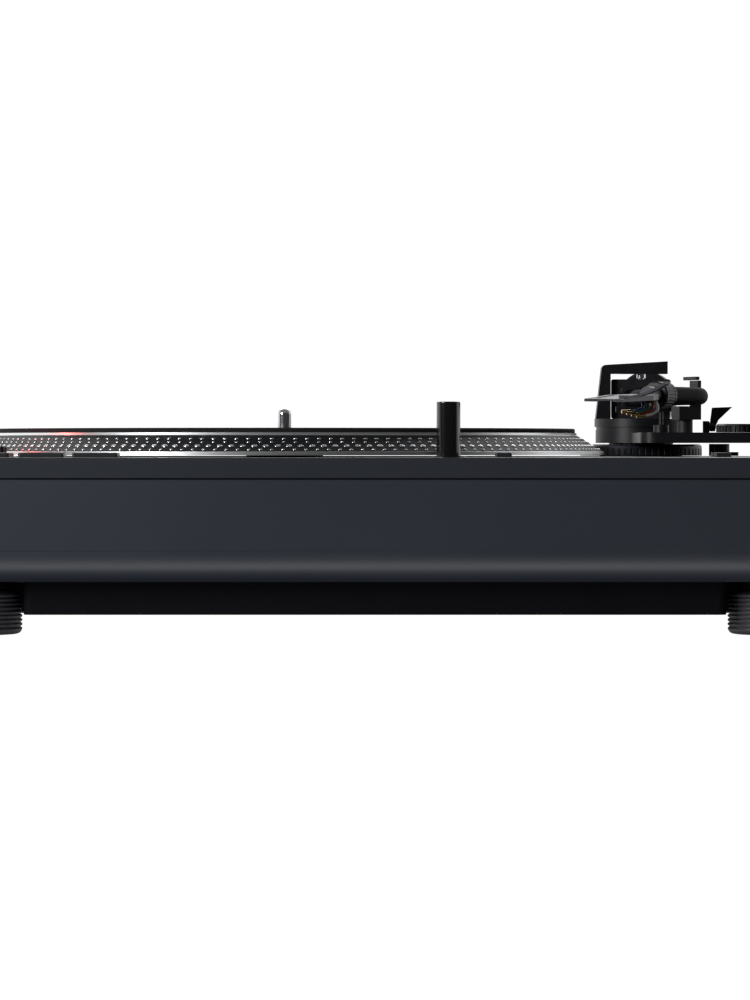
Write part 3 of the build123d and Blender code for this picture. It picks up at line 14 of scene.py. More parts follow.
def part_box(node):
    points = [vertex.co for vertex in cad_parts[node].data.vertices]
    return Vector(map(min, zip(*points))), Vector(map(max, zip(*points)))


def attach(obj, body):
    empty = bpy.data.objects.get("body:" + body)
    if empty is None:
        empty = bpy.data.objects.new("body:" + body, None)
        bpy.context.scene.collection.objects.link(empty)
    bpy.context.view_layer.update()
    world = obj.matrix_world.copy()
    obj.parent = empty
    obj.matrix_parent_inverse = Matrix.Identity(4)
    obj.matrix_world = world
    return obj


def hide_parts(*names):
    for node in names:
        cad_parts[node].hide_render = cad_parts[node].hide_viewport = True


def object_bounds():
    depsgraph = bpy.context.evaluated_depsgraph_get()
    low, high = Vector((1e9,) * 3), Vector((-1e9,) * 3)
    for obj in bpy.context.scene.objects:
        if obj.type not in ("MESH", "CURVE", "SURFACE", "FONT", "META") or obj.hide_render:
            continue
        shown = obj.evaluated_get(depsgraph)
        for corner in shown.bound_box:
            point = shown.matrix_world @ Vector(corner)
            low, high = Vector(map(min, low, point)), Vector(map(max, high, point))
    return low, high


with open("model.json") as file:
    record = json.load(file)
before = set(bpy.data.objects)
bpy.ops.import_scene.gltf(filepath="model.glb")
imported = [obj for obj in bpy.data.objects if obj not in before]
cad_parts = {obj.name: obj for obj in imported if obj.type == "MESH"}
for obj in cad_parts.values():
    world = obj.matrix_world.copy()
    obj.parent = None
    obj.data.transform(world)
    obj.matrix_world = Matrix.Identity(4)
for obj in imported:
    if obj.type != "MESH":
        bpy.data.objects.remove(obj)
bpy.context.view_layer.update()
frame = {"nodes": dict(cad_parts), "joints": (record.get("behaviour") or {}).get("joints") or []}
MM = 0.001
UP = Vector((0, 0, 1))
nodes = frame["nodes"]
joints = {joint["name"]: joint for joint in frame["joints"]}

# %% [markdown]
# ## Landmarks
# Every place comes from the frame. A joint gives the line that a part turns on, and a node's box gives its
# lowest and highest corner. Naming the few that are used often keeps the later cells short.

# %% Landmarks
spindle_low, spindle_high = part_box("spindle")
platter_low, platter_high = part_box("platter")
mat_low, mat_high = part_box("platter_mat")
centre = Vector(((spindle_low.x + spindle_high.x) / 2, (spindle_low.y + spindle_high.y) / 2, 0))
platter_radius = (platter_high.x - platter_low.x) / 2
mat_radius = (mat_high.x - mat_low.x) / 2
panel_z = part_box("top_panel")[1].z
head_axis = Vector(joints["collar_turn"]["axis"])
head_root = Vector(joints["collar_turn"]["pos_m"])
print("platter radius", round(platter_radius, 4), "mat radius", round(mat_radius, 4))
print("panel at", round(panel_z, 4))

# %% [markdown]
# ## Shader maths as Python
# A material is a graph of nodes. Writing it with operators keeps it readable: `1 - mask` adds one Math node.
# `Socket` wraps an output, `Finish` owns a material's graph, and `node` is the one way to add any other node.

# %% Shader maths
class Socket:
    """A number, colour or vector socket that can stand in a Python expression."""

    def __init__(self, finish, socket):
        self.finish, self.socket = finish, socket

    def _math(self, operation, first, second=None):
        inputs = {0: first} if second is None else {0: first, 1: second}
        return self.finish.node("ShaderNodeMath", {"operation": operation}, inputs)

    def __add__(self, other):
        return self._math("ADD", self, other)

    def __radd__(self, other):
        return self._math("ADD", other, self)

    def __sub__(self, other):
        return self._math("SUBTRACT", self, other)

    def __rsub__(self, other):
        return self._math("SUBTRACT", other, self)

    def __mul__(self, other):
        return self._math("MULTIPLY", self, other)

    def __rmul__(self, other):
        return self._math("MULTIPLY", other, self)

    def __truediv__(self, other):
        return self._math("DIVIDE", self, other)

    def __gt__(self, other):
        return self._math("GREATER_THAN", self, other)

    def __lt__(self, other):
        return self._math("LESS_THAN", self, other)

    def sine(self):
        return self._math("SINE", self)

    def root(self):
        return self._math("SQRT", self)

    def wrap(self, period):
        return self._math("FLOORED_MODULO", self, period)

    def out(self, name):
        return Socket(self.finish, self.socket.node.outputs[name])


class Finish:
    """One material: a Principled shader whose constants are set here, and a graph that feeds what varies."""

    def __init__(self, name, colour, roughness, metallic=0.0, **constants):
        self.material = bpy.data.materials.new(name)
        self.material.use_nodes = True
        self.tree = self.material.node_tree
        self.shader = self.tree.nodes["Principled BSDF"]
        self.set("Base Color", (*colour, 1.0))
        self.set("Roughness", roughness)
        self.set("Metallic", metallic)
        for socket, value in constants.items():
            self.set(socket.replace("_", " "), value)

    def set(self, socket, value):
        target = self.shader.inputs[socket]
        if isinstance(value, Socket):
            self.tree.links.new(value.socket, target)
        else:
            target.default_value = value

    def node(self, kind, settings=None, inputs=None, output=0):
        made = self.tree.nodes.new(kind)
        for key, value in (settings or {}).items():
            setattr(made, key, value)
        for key, value in (inputs or {}).items():
            if isinstance(value, Socket):
                self.tree.links.new(value.socket, made.inputs[key])
            else:
                made.inputs[key].default_value = value
        return Socket(self, made.outputs[output])

    def place(self):
        """The point's place on the object at rest, in metres, as x, y and z."""
        point = self.node("ShaderNodeTexCoord", output="Object")
        parts = self.node("ShaderNodeSeparateXYZ", inputs={0: point})
        return point, parts.out("X"), parts.out("Y"), parts.out("Z")

    def noise(self, scale, detail=3.0, vector=None, **more):
        point = vector or self.node("ShaderNodeTexCoord", output="Object")
        inputs = {"Vector": point, "Scale": scale, "Detail": detail, **more}
        return self.node("ShaderNodeTexNoise", inputs=inputs)

    def stretch(self, amounts):
        """The object coordinates stretched by a factor on each axis."""
        point = self.node("ShaderNodeTexCoord", output="Object")
        return self.node("ShaderNodeVectorMath", {"operation": "MULTIPLY"}, {0: point, 1: amounts})

    def blend(self, mask, low, high):
        """A colour between low and high; each may be a colour or a socket."""
        low = (*low, 1.0) if isinstance(low, tuple) else low
        high = (*high, 1.0) if isinstance(high, tuple) else high
        return self.node("ShaderNodeMix", {"data_type": "RGBA"}, {0: mask, 6: low, 7: high}, output=2)

    def bump(self, height, strength, distance):
        inputs = {"Height": height, "Strength": strength, "Distance": distance}
        self.set("Normal", self.node("ShaderNodeBump", inputs=inputs))


def new_piece(name, data):
    """An object in the scene that holds a mesh, a curve, a lamp or a camera."""
    piece = bpy.data.objects.new(name, data)
    bpy.context.scene.collection.objects.link(piece)
    return piece


def mesh_piece(name, made, smooth=True):
    """An object from a bmesh, which is freed."""
    mesh = bpy.data.meshes.new(name)
    made.to_mesh(mesh)
    made.free()
    if smooth:
        mesh.shade_smooth()
    return new_piece(name, mesh)


def dress(finish, *names):
    """Gives CAD nodes a finish in place of the plain one they came with."""
    for name in names:
        part = nodes[name]
        part.data.materials.clear()
        part.data.materials.append(finish.material)
    print(finish.material.name, "on", ", ".join(names))


# %% [markdown]
# ## The cabinet
# The lower cabinet is a moulded shell in a satin dark grey with a faint blue cast. Spray-textured plastic is
# never one value: a broad cloud shifts its colour a little, a fine one breaks up the gloss, and a very fine
# bump gives the grain that catches light at the rolled-under edge.

# %% Cabinet finish
cabinet = Finish("cabinet_satin", (0.018, 0.020, 0.025), 0.42, Specular_IOR_Level=0.45)
cloud = cabinet.noise(9.0)
grain = cabinet.noise(1800.0, 2.0)
cabinet.set("Base Color", cabinet.blend(cloud, (0.014, 0.018, 0.026), (0.018, 0.022, 0.031)))
cabinet.set("Roughness", 0.38 + 0.08 * grain + 0.04 * cloud)
cabinet.bump(grain, 0.25, 0.0002)
dress(cabinet, "lower_cabinet")

# %% [markdown]
# The top panel is a die casting with a baked satin coat, a little smoother than the cabinet. Its finish has a
# finer grain and a lower roughness, so that the small radius along its edge draws a clean line of light.

# %% Panel finish
panel = Finish("panel_coat", (0.018, 0.020, 0.024), 0.34, Coat_Weight=0.15, Coat_Roughness=0.25)
cloud = panel.noise(7.0)
grain = panel.noise(2600.0, 2.0)
panel.set("Base Color", panel.blend(cloud, (0.013, 0.016, 0.022), (0.017, 0.020, 0.026)))
panel.set("Roughness", 0.30 + 0.10 * grain)
panel.bump(grain, 0.18, 0.0001)
dress(panel, "top_panel", "strobe_housing")

# %% [markdown]
# ## Rubber
# The base cover and the feet are heavy rubber. It is nearly black, matt, and slightly dusty where it stands
# proud, which a broad noise in the roughness suggests.

# %% Rubber finishes
base_rubber = Finish("base_rubber", (0.002, 0.002, 0.002), 0.7, Specular_IOR_Level=0.05)
dust = base_rubber.noise(40.0, 5.0)
base_rubber.set("Base Color", base_rubber.blend(dust, (0.002, 0.002, 0.003), (0.0045, 0.004, 0.006)))
base_rubber.set("Roughness", 0.62 + 0.2 * dust)
base_rubber.bump(base_rubber.noise(900.0), 0.3, 0.0002)
dress(base_rubber, "base_cover")

foot_rubber = Finish("foot_rubber", (0.016, 0.016, 0.019), 0.45, Specular_IOR_Level=0.45)
dust = foot_rubber.noise(60.0, 4.0)
foot_rubber.set("Base Color", foot_rubber.blend(dust, (0.018, 0.018, 0.022), (0.034, 0.035, 0.040)))
foot_rubber.set("Roughness", 0.38 + 0.18 * dust)
foot_rubber.bump(foot_rubber.noise(1500.0), 0.2, 0.0001)

# %% [markdown]
# ## Feet
# Each foot is a turned drum with eight rounded ribs and a fine upright knurl, so that fingers can turn it. A
# lathe makes this shape: one outline spun about the foot's own axis. Here the outline is worked out rib by
# rib, and every second step round the axis is set in a little, which cuts the knurl as real geometry.

# %% Feet
def lathe(name, outline, steps, middle, radius_at):
    """Spins an outline of (radius, height) pairs about the vertical through middle."""
    made = bmesh.new()
    rings = []
    for radius, height in outline:
        ring = []
        for step in range(steps):
            angle = 2 * math.pi * step / steps
            reach = radius_at(radius, step)
            point = (middle.x + reach * math.cos(angle), middle.y + reach * math.sin(angle), height)
            ring.append(made.verts.new(point))
        rings.append(ring)
    for lower, upper in zip(rings, rings[1:]):
        for step in range(steps):
            after = (step + 1) % steps
            made.faces.new((lower[step], lower[after], upper[after], upper[step]))
    made.faces.new(rings[0][::-1])
    made.faces.new(rings[-1])
    return mesh_piece(name, made)


def foot_outline(radius, height, ribs):
    """A rounded bottom edge, then ribs with rounded crests, then a chamfered top."""
    edge = 3.0 * MM
    outline = [(0.35 * radius, 0.6 * MM), (0.4 * radius, 0.0), (radius - edge, 0.0)]
    for step in range(1, 6):
        angle = math.pi / 2 * step / 5
        outline.append((radius - edge + edge * math.sin(angle), edge - edge * math.cos(angle)))
    pitch = (height - 2 * edge + 1.5 * MM) / ribs
    groove = 0.75 * MM
    start = edge + 0.4 * MM
    for rib in range(ribs):
        low = start + rib * pitch
        outline += [
            (radius - groove, low),
            (radius - groove, low + 0.22 * pitch),
            (radius - 0.25 * groove, low + 0.34 * pitch),
            (radius, low + 0.5 * pitch),
            (radius, low + 0.78 * pitch),
            (radius - 0.25 * groove, low + 0.92 * pitch),
        ]
    outline += [(radius - groove, start + ribs * pitch), (radius - 1.6 * MM, height), (0.3 * radius, height)]
    return outline


def knurled(reach, step):
    """Sets every second step of the drum in a little."""
    return reach - (knurl_depth if step % 2 and reach > 0.9 * radius else 0.0)


knurl_depth = 0.22 * MM
foot_ribs = 8
foot_steps = 240
for side in ("front_left", "front_right", "back_left", "back_right"):
    low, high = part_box(f"foot_{side}")
    middle = (low + high) / 2
    radius = (high.x - low.x) / 2
    foot = lathe(f"foot_{side}_ribbed", foot_outline(radius, high.z, foot_ribs), foot_steps, middle, knurled)
    foot.data.materials.append(foot_rubber.material)
    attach(foot, f"foot_{side}")
    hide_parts(f"foot_{side}")
print("foot radius", round(radius, 4), "height", round(high.z, 4), "vertices", len(foot.data.vertices))

# %% [markdown]
# ## The platter
# The platter is a dark turned casting. Its lip and the narrow ring beside the mat are polished, and the bevel
# between them carries the strobe dots. The masks below are radii and heights about the centre pin, and the
# turning marks are a noise stretched so that it varies with radius alone.

# %% Platter finish
platter = Finish("platter_turned", (0.012, 0.013, 0.015), 0.30, Specular_IOR_Level=0.12)
point, x, y, z = platter.place()
radius = ((x - centre.x) * (x - centre.x) + y * y).root()
lip_top = panel_z + 2.85 * MM
lip_width = 1.1 * MM
rim_depth = 1.25 * MM
rim_inner = platter_radius - 15.2 * MM
rim_outer = platter_radius - 14.0 * MM
lip = (z < lip_top) * (radius > platter_radius - lip_width)
rim = (radius > rim_inner) * (z > platter_high.z - rim_depth) * (radius < rim_outer)
bright = lip + rim
turning = platter.node(
    "ShaderNodeTexNoise",
    {"noise_dimensions": "1D"},
    {"W": radius * 4000.0 + z * 3000.0, "Scale": 1.0, "Detail": 2.0},
)
platter.set("Base Color", platter.blend(bright, (0.007, 0.0075, 0.009), (0.86, 0.87, 0.88)))
platter.set("Metallic", bright)
platter.set("Roughness", 0.40 + 0.10 * turning - 0.14 * bright)
platter.bump(turning, 0.12, 0.00005)
dress(platter, "platter")

# %% [markdown]
# ## Strobe dots
# Four rows of small domed dots run round the bevel. Their counts differ from row to row, so that each row
# stands still under the lamp at its own speed. They stick out, so they are geometry: one dome is a cap of a
# few rings, set square to the bevel, and a loop repeats it.

# %% Strobe dots
bevel_low = Vector((platter_radius - 1.0 * MM, panel_z + 2.8 * MM))
bevel_high = Vector((mat_radius + 0.8 * MM, panel_z + 11.0 * MM))
bevel = (bevel_high - bevel_low).normalized()
outward = Vector((bevel.y, -bevel.x))
# each row: name, number of dots, height above the panel, half height and half width, in millimetres
dot_rows = (
    ("outer", 186, 3.7, 0.62, 0.85),
    ("large", 180, 5.55, 1.0, 1.55),
    ("inner", 174, 7.35, 0.55, 0.8),
    ("top", 170, 9.0, 0.62, 0.95),
)
dome_steps = 12
dome_rings = 3
dome_height = 0.42 * MM


def dome_row(name, count, height, half_height, half_width):
    """One row of domes, each half_width wide along the row and half_height up the bevel."""
    made = bmesh.new()
    share = (panel_z + height * MM - bevel_low.y) / (bevel_high.y - bevel_low.y)
    seat = bevel_low.lerp(bevel_high, share)
    for dot in range(count):
        turn = 2 * math.pi * dot / count
        radial = Vector((math.cos(turn), math.sin(turn), 0))
        along = Vector((-math.sin(turn), math.cos(turn), 0))
        up = radial * bevel.x + Vector((0, 0, bevel.y))
        out = radial * outward.x + Vector((0, 0, outward.y))
        base = centre + radial * seat.x + Vector((0, 0, seat.y))
        rings = []
        for ring in range(dome_rings):
            lift = ring / dome_rings
            shrink = math.sqrt(1 - lift * lift)
            rings.append([
                made.verts.new(
                    base
                    + along * (half_width * MM * shrink * math.cos(2 * math.pi * step / dome_steps))
                    + up * (half_height * MM * shrink * math.sin(2 * math.pi * step / dome_steps))
                    + out * (dome_height * lift)
                )
                for step in range(dome_steps)
            ])
        top = made.verts.new(base + out * dome_height)
        for lower, upper in zip(rings, rings[1:]):
            for step in range(dome_steps):
                after = (step + 1) % dome_steps
                made.faces.new((lower[step], lower[after], upper[after], upper[step]))
        for step in range(dome_steps):
            made.faces.new((rings[-1][step], rings[-1][(step + 1) % dome_steps], top))
        made.faces.new(rings[0][::-1])
    return mesh_piece(name, made)


polished = Finish("polished_dots", (0.80, 0.81, 0.83), 0.16, 1.0)
scuff = polished.noise(700.0, 3.0)
polished.set("Roughness", 0.10 + 0.16 * scuff)
for row_name, count, height, half_height, half_width in dot_rows:
    dots = dome_row(f"strobe_dots_{row_name}", count, height, half_height, half_width)
    dots.data.materials.append(polished.material)
    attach(dots, "platter_body")
    print(dots.name, "has", count, "dots,", len(dots.data.polygons), "faces")

# %% [markdown]
# ## The mat, the pin and bright metal
# The mat is a matt black sheet with a faint nap, so its bump is fine and its sheen low. The centre pin and
# the small polished screws are plated steel: bright metal whose roughness drifts with handling.

# %% Mat and pin
mat = Finish("mat_felt", (0.007, 0.007, 0.008), 0.85, Specular_IOR_Level=0.2)
point, x, y, z = mat.place()
radius = ((x - centre.x) * (x - centre.x) + y * y).root()
ridge = 0.5 + 0.5 * (radius * (2 * math.pi / 0.003)).sine()
nap = mat.noise(2400.0, 4.0)
mat.set("Base Color", mat.blend(nap, (0.005, 0.005, 0.006), (0.011, 0.011, 0.012)))
mat.set("Roughness", 0.75 + 0.2 * nap)
mat.bump(nap * 0.6 + ridge * 0.4, 0.35, 0.0003)
dress(mat, "platter_mat")

plated = Finish("plated_steel", (0.72, 0.73, 0.75), 0.14, 1.0)
smear = plated.noise(180.0, 4.0)
plated.set("Roughness", 0.08 + 0.14 * smear)
plated.set("Base Color", plated.blend(smear, (0.66, 0.67, 0.70), (0.78, 0.79, 0.80)))
dress(plated, "spindle", "pivot_screws", "ground_terminal")

blackened = Finish("blackened_steel", (0.05, 0.05, 0.055), 0.4, 1.0)
blackened.set("Roughness", 0.32 + 0.2 * blackened.noise(400.0))
dress(blackened, "cabinet_screws", "foot_studs")

# %% [markdown]
# ## Paint and anodising on the arm
# The yoke and the base of the arm wear a satin black paint, and the tube a matt one. The headshell, the
# height ring and the base ring are anodised a dark grey, with faint turning lines. Gloss sets them apart
# more than colour does.

# %% Arm finishes
arm_black = Finish("arm_satin_black", (0.007, 0.007, 0.009), 0.38, Specular_IOR_Level=0.35)
wear = arm_black.noise(220.0, 4.0)
arm_black.set("Base Color", arm_black.blend(wear, (0.006, 0.006, 0.008), (0.010, 0.010, 0.013)))
arm_black.set("Roughness", 0.32 + 0.14 * wear)
arm_black.bump(arm_black.noise(3000.0, 2.0), 0.12, 0.00005)
dress(
    arm_black, "gimbal_yoke", "gimbal_ring", "arm_base_plate", "cue_lever", "lock_lever",
    "arm_lifter", "headshell_collar", "counterweight", "anti_skate_dial", "tracking_dial",
)

tube_black = Finish("tube_matt_black", (0.002, 0.002, 0.003), 0.6, Specular_IOR_Level=0.05)
tube_black.set("Roughness", 0.54 + 0.14 * tube_black.noise(260.0))
dress(tube_black, "arm_tube")

arm_grey = Finish("anodised_grey", (0.022, 0.023, 0.030), 0.34, 0.5)
point, x, y, z = arm_grey.place()
lines = arm_grey.noise(1.0, 2.0, arm_grey.stretch((300.0, 300.0, 9000.0)))
arm_grey.set("Base Color", arm_grey.blend(lines, (0.012, 0.013, 0.018), (0.023, 0.024, 0.031)))
arm_grey.set("Roughness", 0.28 + 0.16 * lines)
arm_grey.bump(lines, 0.1, 0.00005)
dress(arm_grey, "headshell", "finger_lift", "height_ring", "arm_base_ring")

# %% [markdown]
# ## Plastics, buttons and lenses
# Moulded plastic parts share one fine-grained finish. The buttons are satin metal caps, a shade brighter
# than the panel. The pop-up lamp is gloss black, and the strobe window is a deep red lens that glows.

# %% Plastic, buttons and lenses
plastic = Finish("moulded_black", (0.010, 0.010, 0.011), 0.5, Specular_IOR_Level=0.4)
grain = plastic.noise(1600.0, 3.0)
plastic.set("Roughness", 0.42 + 0.18 * grain)
plastic.bump(grain, 0.25, 0.0001)
dress(
    plastic, "terminal_panel", "pitch_track", "pitch_fader_body", "pitch_knob", "arm_rest", "arm_clip",
    "weight_bush",
)

caps = Finish("button_satin", (0.05, 0.052, 0.058), 0.32, 0.6)
brushed = caps.noise(1.0, 2.0, caps.stretch((120.0, 6000.0, 6000.0)))
caps.set("Base Color", caps.blend(brushed, (0.038, 0.040, 0.046), (0.062, 0.064, 0.070)))
caps.set("Roughness", 0.26 + 0.14 * brushed)
dress(
    caps, "start_stop_button", "speed_33_button", "speed_45_button", "pitch_reset_button",
    "pitch_range_button", "lamp_release_button", "power_switch",
)

gloss = Finish("gloss_black", (0.004, 0.004, 0.005), 0.12, Coat_Weight=0.6, Coat_Roughness=0.04)
gloss.set("Roughness", 0.10 + 0.08 * gloss.noise(90.0))
dress(gloss, "target_lamp", "lamp_sleeve", "mains_inlet")

red_lens = Finish("red_lens", (0.30, 0.01, 0.01), 0.15, Transmission_Weight=0.3, Emission_Strength=1.5)
facets = red_lens.noise(500.0, 1.0)
red_lens.set("Emission Color", red_lens.blend(facets, (0.55, 0.02, 0.02), (0.9, 0.06, 0.05)))
dress(red_lens, "strobe_lens")

clear_lens = Finish("clear_lens", (0.75, 0.74, 0.70), 0.1, Transmission_Weight=0.6)
clear_lens.set("Roughness", 0.06 + 0.1 * clear_lens.noise(400.0))
dress(clear_lens, "target_lamp_lens")

# %% [markdown]
# ## Inside the cabinet
# The parts inside are seldom seen, but each still gets its own finish: green laminate with copper tracks
# for the boards, wound copper, steel laminations, sintered magnet, bearing bronze and gold-plated sockets.

# %% Inside finishes
board = Finish("board_laminate", (0.01, 0.07, 0.03), 0.35)
tracks = board.node("ShaderNodeTexBrick", inputs={"Scale": 260.0, "Mortar Size": 0.03}, output="Fac")
board.set("Base Color", board.blend(tracks, (0.008, 0.06, 0.028), (0.02, 0.13, 0.05)))
dress(board, "motor_board", "power_board", "control_board", "stator_plate")

copper = Finish("wound_copper", (0.5, 0.2, 0.08), 0.35, 0.9)
point, x, y, z = copper.place()
turns = 0.5 + 0.5 * (z * (2 * math.pi / 0.0006)).sine()
copper.set("Base Color", copper.blend(turns, (0.28, 0.10, 0.04), (0.62, 0.27, 0.11)))
copper.bump(turns, 0.5, 0.0002)
dress(copper, "stator_coils")

laminations = Finish("laminated_steel", (0.1, 0.1, 0.11), 0.45, 0.8)
point, x, y, z = laminations.place()
sheets = (z.wrap(0.0005) > 0.00035) * 1.0
laminations.set("Base Color", laminations.blend(sheets, (0.10, 0.10, 0.115), (0.03, 0.03, 0.03)))
dress(laminations, "transformer")

magnet = Finish("sintered_magnet", (0.05, 0.05, 0.05), 0.6, 0.3)
magnet.set("Roughness", 0.45 + 0.3 * magnet.noise(600.0))
dress(magnet, "rotor_magnet")

bronze = Finish("bearing_bronze", (0.45, 0.30, 0.12), 0.3, 1.0)
bronze.set("Roughness", 0.22 + 0.2 * bronze.noise(1.0, 2.0, bronze.stretch((300.0, 300.0, 5000.0))))
dress(bronze, "bearing_housing")

gold = Finish("gold_plate", (0.80, 0.55, 0.20), 0.18, 1.0)
gold.set("Roughness", 0.12 + 0.12 * gold.noise(500.0))
dress(gold, "rca_sockets")

adapter = Finish("turned_aluminium", (0.62, 0.62, 0.63), 0.28, 1.0)
point, x, y, z = adapter.place()
low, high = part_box("adapter_45")
middle = (low + high) / 2
radius = ((x - middle.x) * (x - middle.x) + (y - middle.y) * (y - middle.y)).root()
turning = adapter.node("ShaderNodeTexNoise", {"noise_dimensions": "1D"}, {"W": radius * 5000.0, "Scale": 1.0})
adapter.set("Roughness", 0.18 + 0.2 * turning)
adapter.bump(turning, 0.15, 0.00005)
dress(adapter, "adapter_45")

# %% [markdown]
# ## Headshell leads
# Four thin coloured leads leave the plug behind the headshell and dip down towards where a cartridge's pins
# would be. A curve with a round bevel is the natural way to make a wire, and each ends in a small gold clip.

# %% Headshell leads
def insulation(name, colour):
    made = Finish(name, colour, 0.4)
    made.set("Roughness", 0.32 + 0.2 * made.noise(900.0))
    darker = tuple(0.75 * c for c in colour)
    made.set("Base Color", made.blend(made.noise(300.0), darker, colour))
    return made


lead_colours = (
    ("blue", (0.03, 0.06, 0.25)),
    ("green", (0.03, 0.16, 0.06)),
    ("red", (0.30, 0.02, 0.025)),
    ("white", (0.80, 0.74, 0.72)),
)
lead_radius = 0.7 * MM
side = Vector((head_axis.y, -head_axis.x, 0))
lead_root = head_root - head_axis * (10.0 * MM) - Vector((0, 0, 2.2 * MM))


def curve_piece(name, points, radius, finish):
    """A smooth wire through points, as a curve with a round section."""
    data = bpy.data.curves.new(name, "CURVE")
    data.dimensions = "3D"
    data.bevel_depth = radius
    data.bevel_resolution = 4
    data.use_fill_caps = True
    spline = data.splines.new("NURBS")
    spline.points.add(len(points) - 1)
    for target, place in zip(spline.points, points):
        target.co = (*place, 1.0)
    spline.order_u = 3
    spline.use_endpoint_u = True
    data.materials.append(finish.material)
    return new_piece(name, data)


# each step of a lead: forward of the plug, to the right of it and below it, in millimetres
lead_shape = (
    (0.0, 0.0, 0.0), (1.5, 1.5, 0.5), (3.0, 3.8, 2.4),
    (4.2, 4.4, 4.8), (6.0, 2.0, 6.6), (8.5, -1.0, 6.8),
)
lead_pitch = 2.7 * MM
for index, (colour_name, colour) in enumerate(lead_colours):
    start = lead_root + side * ((index - 1.5) * lead_pitch)
    points = [
        start - head_axis * (forward * MM) + side * (right * MM) - UP * (below * MM * (0.9 + 0.1 * index))
        for forward, right, below in lead_shape
    ]
    finish = insulation(f"insulation_{colour_name}", colour)
    lead = curve_piece(f"lead_{colour_name}", points, lead_radius, finish)
    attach(lead, "headshell_body")
    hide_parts("headshell_wires")
    end = points[-1]
    along = (end - points[-2]).normalized()
    clip_points = [end - along * (0.5 * MM), end + along * (1.5 * MM), end + along * (4.0 * MM)]
    clip = curve_piece(f"lead_clip_{colour_name}", clip_points, 1.3 * lead_radius, gold)
    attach(clip, "headshell_body")
print("leads from", [round(v, 4) for v in lead_root])

# %% [markdown]
# ## Marks on dials and tracks
# Scales are short raised strokes. They are generic: evenly spaced ticks with a longer one at each fifth.
# Each stroke is a thin bevelled bar, and all strokes of one scale are joined into one mesh.

# %% Scales
paint = Finish("scale_paint", (0.55, 0.56, 0.58), 0.5)
paint.set("Roughness", 0.4 + 0.2 * paint.noise(800.0))


def strokes(name, places, body):
    """Thin bars, each given as (centre, direction, normal, length, width)."""
    made = bmesh.new()
    for middle, direction, normal, length, width in places:
        across = direction.cross(normal)
        spin = Matrix((direction, across, normal)).transposed().to_4x4()
        size = Matrix.Diagonal((length, width, 0.16 * MM, 1.0))
        box = bmesh.ops.create_cube(made, size=1.0, matrix=Matrix.Translation(middle) @ spin @ size)
        edges = {edge for vert in box["verts"] for edge in vert.link_edges}
        bmesh.ops.bevel(made, geom=list(edges), offset=0.05 * MM, segments=1, affect="EDGES")
    piece = mesh_piece(name, made, smooth=False)
    piece.data.materials.append(paint.material)
    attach(piece, body)
    print(name, len(places), "strokes")
    return piece


low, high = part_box("anti_skate_dial")
middle = (low + high) / 2
dial = []
for tick in range(31):
    turn = math.radians(-120 + tick * 8)
    spoke = Vector((math.sin(turn), math.cos(turn), 0))
    length = (2.6 if tick % 5 == 0 else 1.5) * MM
    place = Vector((middle.x, middle.y, high.z)) + spoke * ((high.x - low.x) / 2 - 2.2 * MM - length / 2)
    dial.append((place, spoke, UP, length, 0.35 * MM))
strokes("anti_skate_scale", dial, "anti_skate_dial")

low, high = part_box("pitch_track")
middle = (low + high) / 2
scale = []
for tick in range(-8, 9):
    for edge in (-1, 1):
        length = (4.0 if tick % 4 == 0 else 2.2) * MM
        place = Vector((middle.x + edge * (10.2 * MM - length / 2), middle.y + tick * 6.25 * MM, high.z))
        scale.append((place, Vector((1, 0, 0)), UP, length, 0.4 * MM))
strokes("pitch_scale", scale, "chassis")

low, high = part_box("height_ring")
middle = (low + high) / 2
ring = []
for tick in range(36):
    turn = math.radians(tick * 6 - 195)
    spoke = Vector((math.cos(turn), math.sin(turn), 0))
    length = (2.6 if tick % 6 == 0 else 1.4) * MM
    place = Vector((middle.x, middle.y, high.z)) + spoke * ((high.x - low.x) / 2 - 1.8 * MM - length / 2)
    ring.append((place, spoke, UP, length, 0.3 * MM))
strokes("height_scale", ring, "height_ring")

low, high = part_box("pitch_knob")
middle = Vector(((low.x + high.x) / 2, (low.y + high.y) / 2, high.z))
knob_line = [(middle, Vector((1, 0, 0)), UP, 8.0 * MM, 0.6 * MM)]
strokes("pitch_knob_line", knob_line, "pitch_knob")

# %% [markdown]
# ## Surround, lights and camera
# The studio is a plain white surround with no floor in sight. A dark satin object takes its shape from what
# it reflects, so the surround changes with direction: white behind the object, dim towards the camera and
# overhead, with a pale band low in front that lights the rolled-under edge. Two ramps over the direction's
# height, one for the front and one for the back, say this, and the direction's depth blends them.

# %% Surround
def ramp_stops(ramp, stops):
    """Sets a ramp's stops, given as the direction's height from -1 to 1 and the brightness there."""
    while len(ramp.elements) < len(stops):
        ramp.elements.new(0.5)
    for element, (height, brightness) in zip(ramp.elements, stops):
        element.position = (height + 1) / 2
        element.color = (brightness, brightness, brightness, 1.0)


front_stops = (
    (-1.0, 0.02), (-0.8, 0.03), (-0.5, 0.50), (-0.25, 0.25),
    (-0.06, 0.04), (0.25, 0.06), (0.7, 0.18), (1.0, 0.22),
)
back_stops = (
    (-1.0, 0.02), (-0.5, 0.05), (-0.22, 1.02), (0.0, 1.05),
    (0.3, 1.02), (0.6, 0.45), (0.8, 0.15), (1.0, 0.20),
)
world = bpy.data.worlds.new("studio")
bpy.context.scene.world = world
world.use_nodes = True
tree = world.node_tree
background = tree.nodes["Background"]
coordinates = tree.nodes.new("ShaderNodeTexCoord")
split = tree.nodes.new("ShaderNodeSeparateXYZ")
lift = tree.nodes.new("ShaderNodeMapRange")
turn = tree.nodes.new("ShaderNodeMapRange")
mix = tree.nodes.new("ShaderNodeMix")
mix.data_type = "RGBA"
tree.links.new(coordinates.outputs["Generated"], split.inputs[0])
tree.links.new(split.outputs["Z"], lift.inputs["Value"])
tree.links.new(split.outputs["Y"], turn.inputs["Value"])
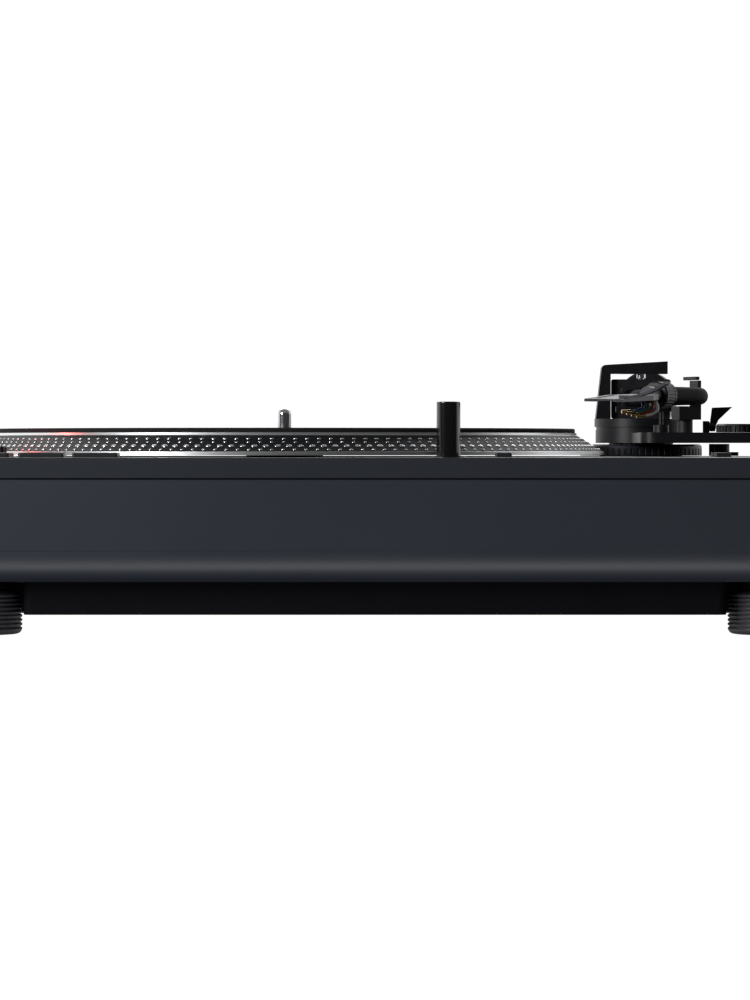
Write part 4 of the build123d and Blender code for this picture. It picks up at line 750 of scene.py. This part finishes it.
lift.inputs["From Min"].default_value = -1.0
turn.inputs["From Min"].default_value = -0.25
turn.inputs["From Max"].default_value = 0.25
tree.links.new(turn.outputs["Result"], mix.inputs[0])
for slot, stops in ((6, front_stops), (7, back_stops)):
    ramp = tree.nodes.new("ShaderNodeValToRGB")
    ramp_stops(ramp.color_ramp, stops)
    tree.links.new(lift.outputs["Result"], ramp.inputs[0])
    tree.links.new(ramp.outputs[0], mix.inputs[slot])
tree.links.new(mix.outputs[2], background.inputs["Color"])
background.inputs["Strength"].default_value = 1.0

# %% [markdown]
# Three lamps do the rest. A soft one near the front left makes the front face fall off towards the right, a
# low strip in front shines up into the rolled-under edge, and a long one high at the back draws the line of
# light along the panel's edge. A small red one sits in front of the strobe window, as the real lamps do.

# %% Lamps
def soft_light(name, place, target, size, power, colour=(1.0, 1.0, 1.0)):
    data = bpy.data.lights.new(name, "AREA")
    data.shape = "RECTANGLE"
    data.size, data.size_y = size
    data.energy = power
    data.color = colour
    lamp = new_piece(name, data)
    lamp.location = place
    lamp.rotation_euler = (Vector(target) - Vector(place)).to_track_quat("-Z", "Y").to_euler()
    print(name, power, "W")


soft_light("key_left", (-0.85, -0.75, 0.45), (-0.1, 0, 0.06), (0.4, 0.4), 11.0)
soft_light("low_front", (0.0, -0.80, -0.87), (0, -0.17, 0.035), (1.6, 0.3), 7.0)
soft_light("rim_back", (0.0, 1.3, 1.1), (0, 0, panel_z), (1.6, 0.5), 9.0)
lens_low, lens_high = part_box("strobe_lens")
window = (lens_low + lens_high) / 2
glow_place = window + (centre - window).normalized() * 6 * MM
glow_place.z = window.z
glow_target = (centre.x - 0.06, centre.y, panel_z + 4 * MM)
soft_light("strobe_glow", glow_place, glow_target, (0.012, 0.004), 0.006, (1.0, 0.07, 0.05))

# %% [markdown]
# The camera stands a little over two metres away with a long lens, level with the platter, so that the deck
# is seen edge-on and runs out of the frame at both sides.

# %% Camera
camera_distance = 2.2
camera_rise = 5.5 * MM
camera_tilt = 0.7312  # degrees below level
camera_lens = 152.316  # millimetres, on a sensor 36 wide
camera_data = bpy.data.cameras.new("camera")
camera_data.sensor_width = 36.0
camera_data.lens = camera_lens
camera_data.clip_end = 100.0
camera = new_piece("camera", camera_data)
camera.location = (0.0, -camera_distance, panel_z + camera_rise)
camera.rotation_euler = (math.radians(90 - camera_tilt), 0, 0)
bpy.context.scene.camera = camera
bpy.context.scene.view_settings.view_transform = "Standard"
print("lens", round(camera_data.lens, 1), "mm")

# %% [markdown]
# ## Finish
# The last cell works out the size of the dressed model, as the box round every piece that is shown.

# %% Finish
low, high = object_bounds()
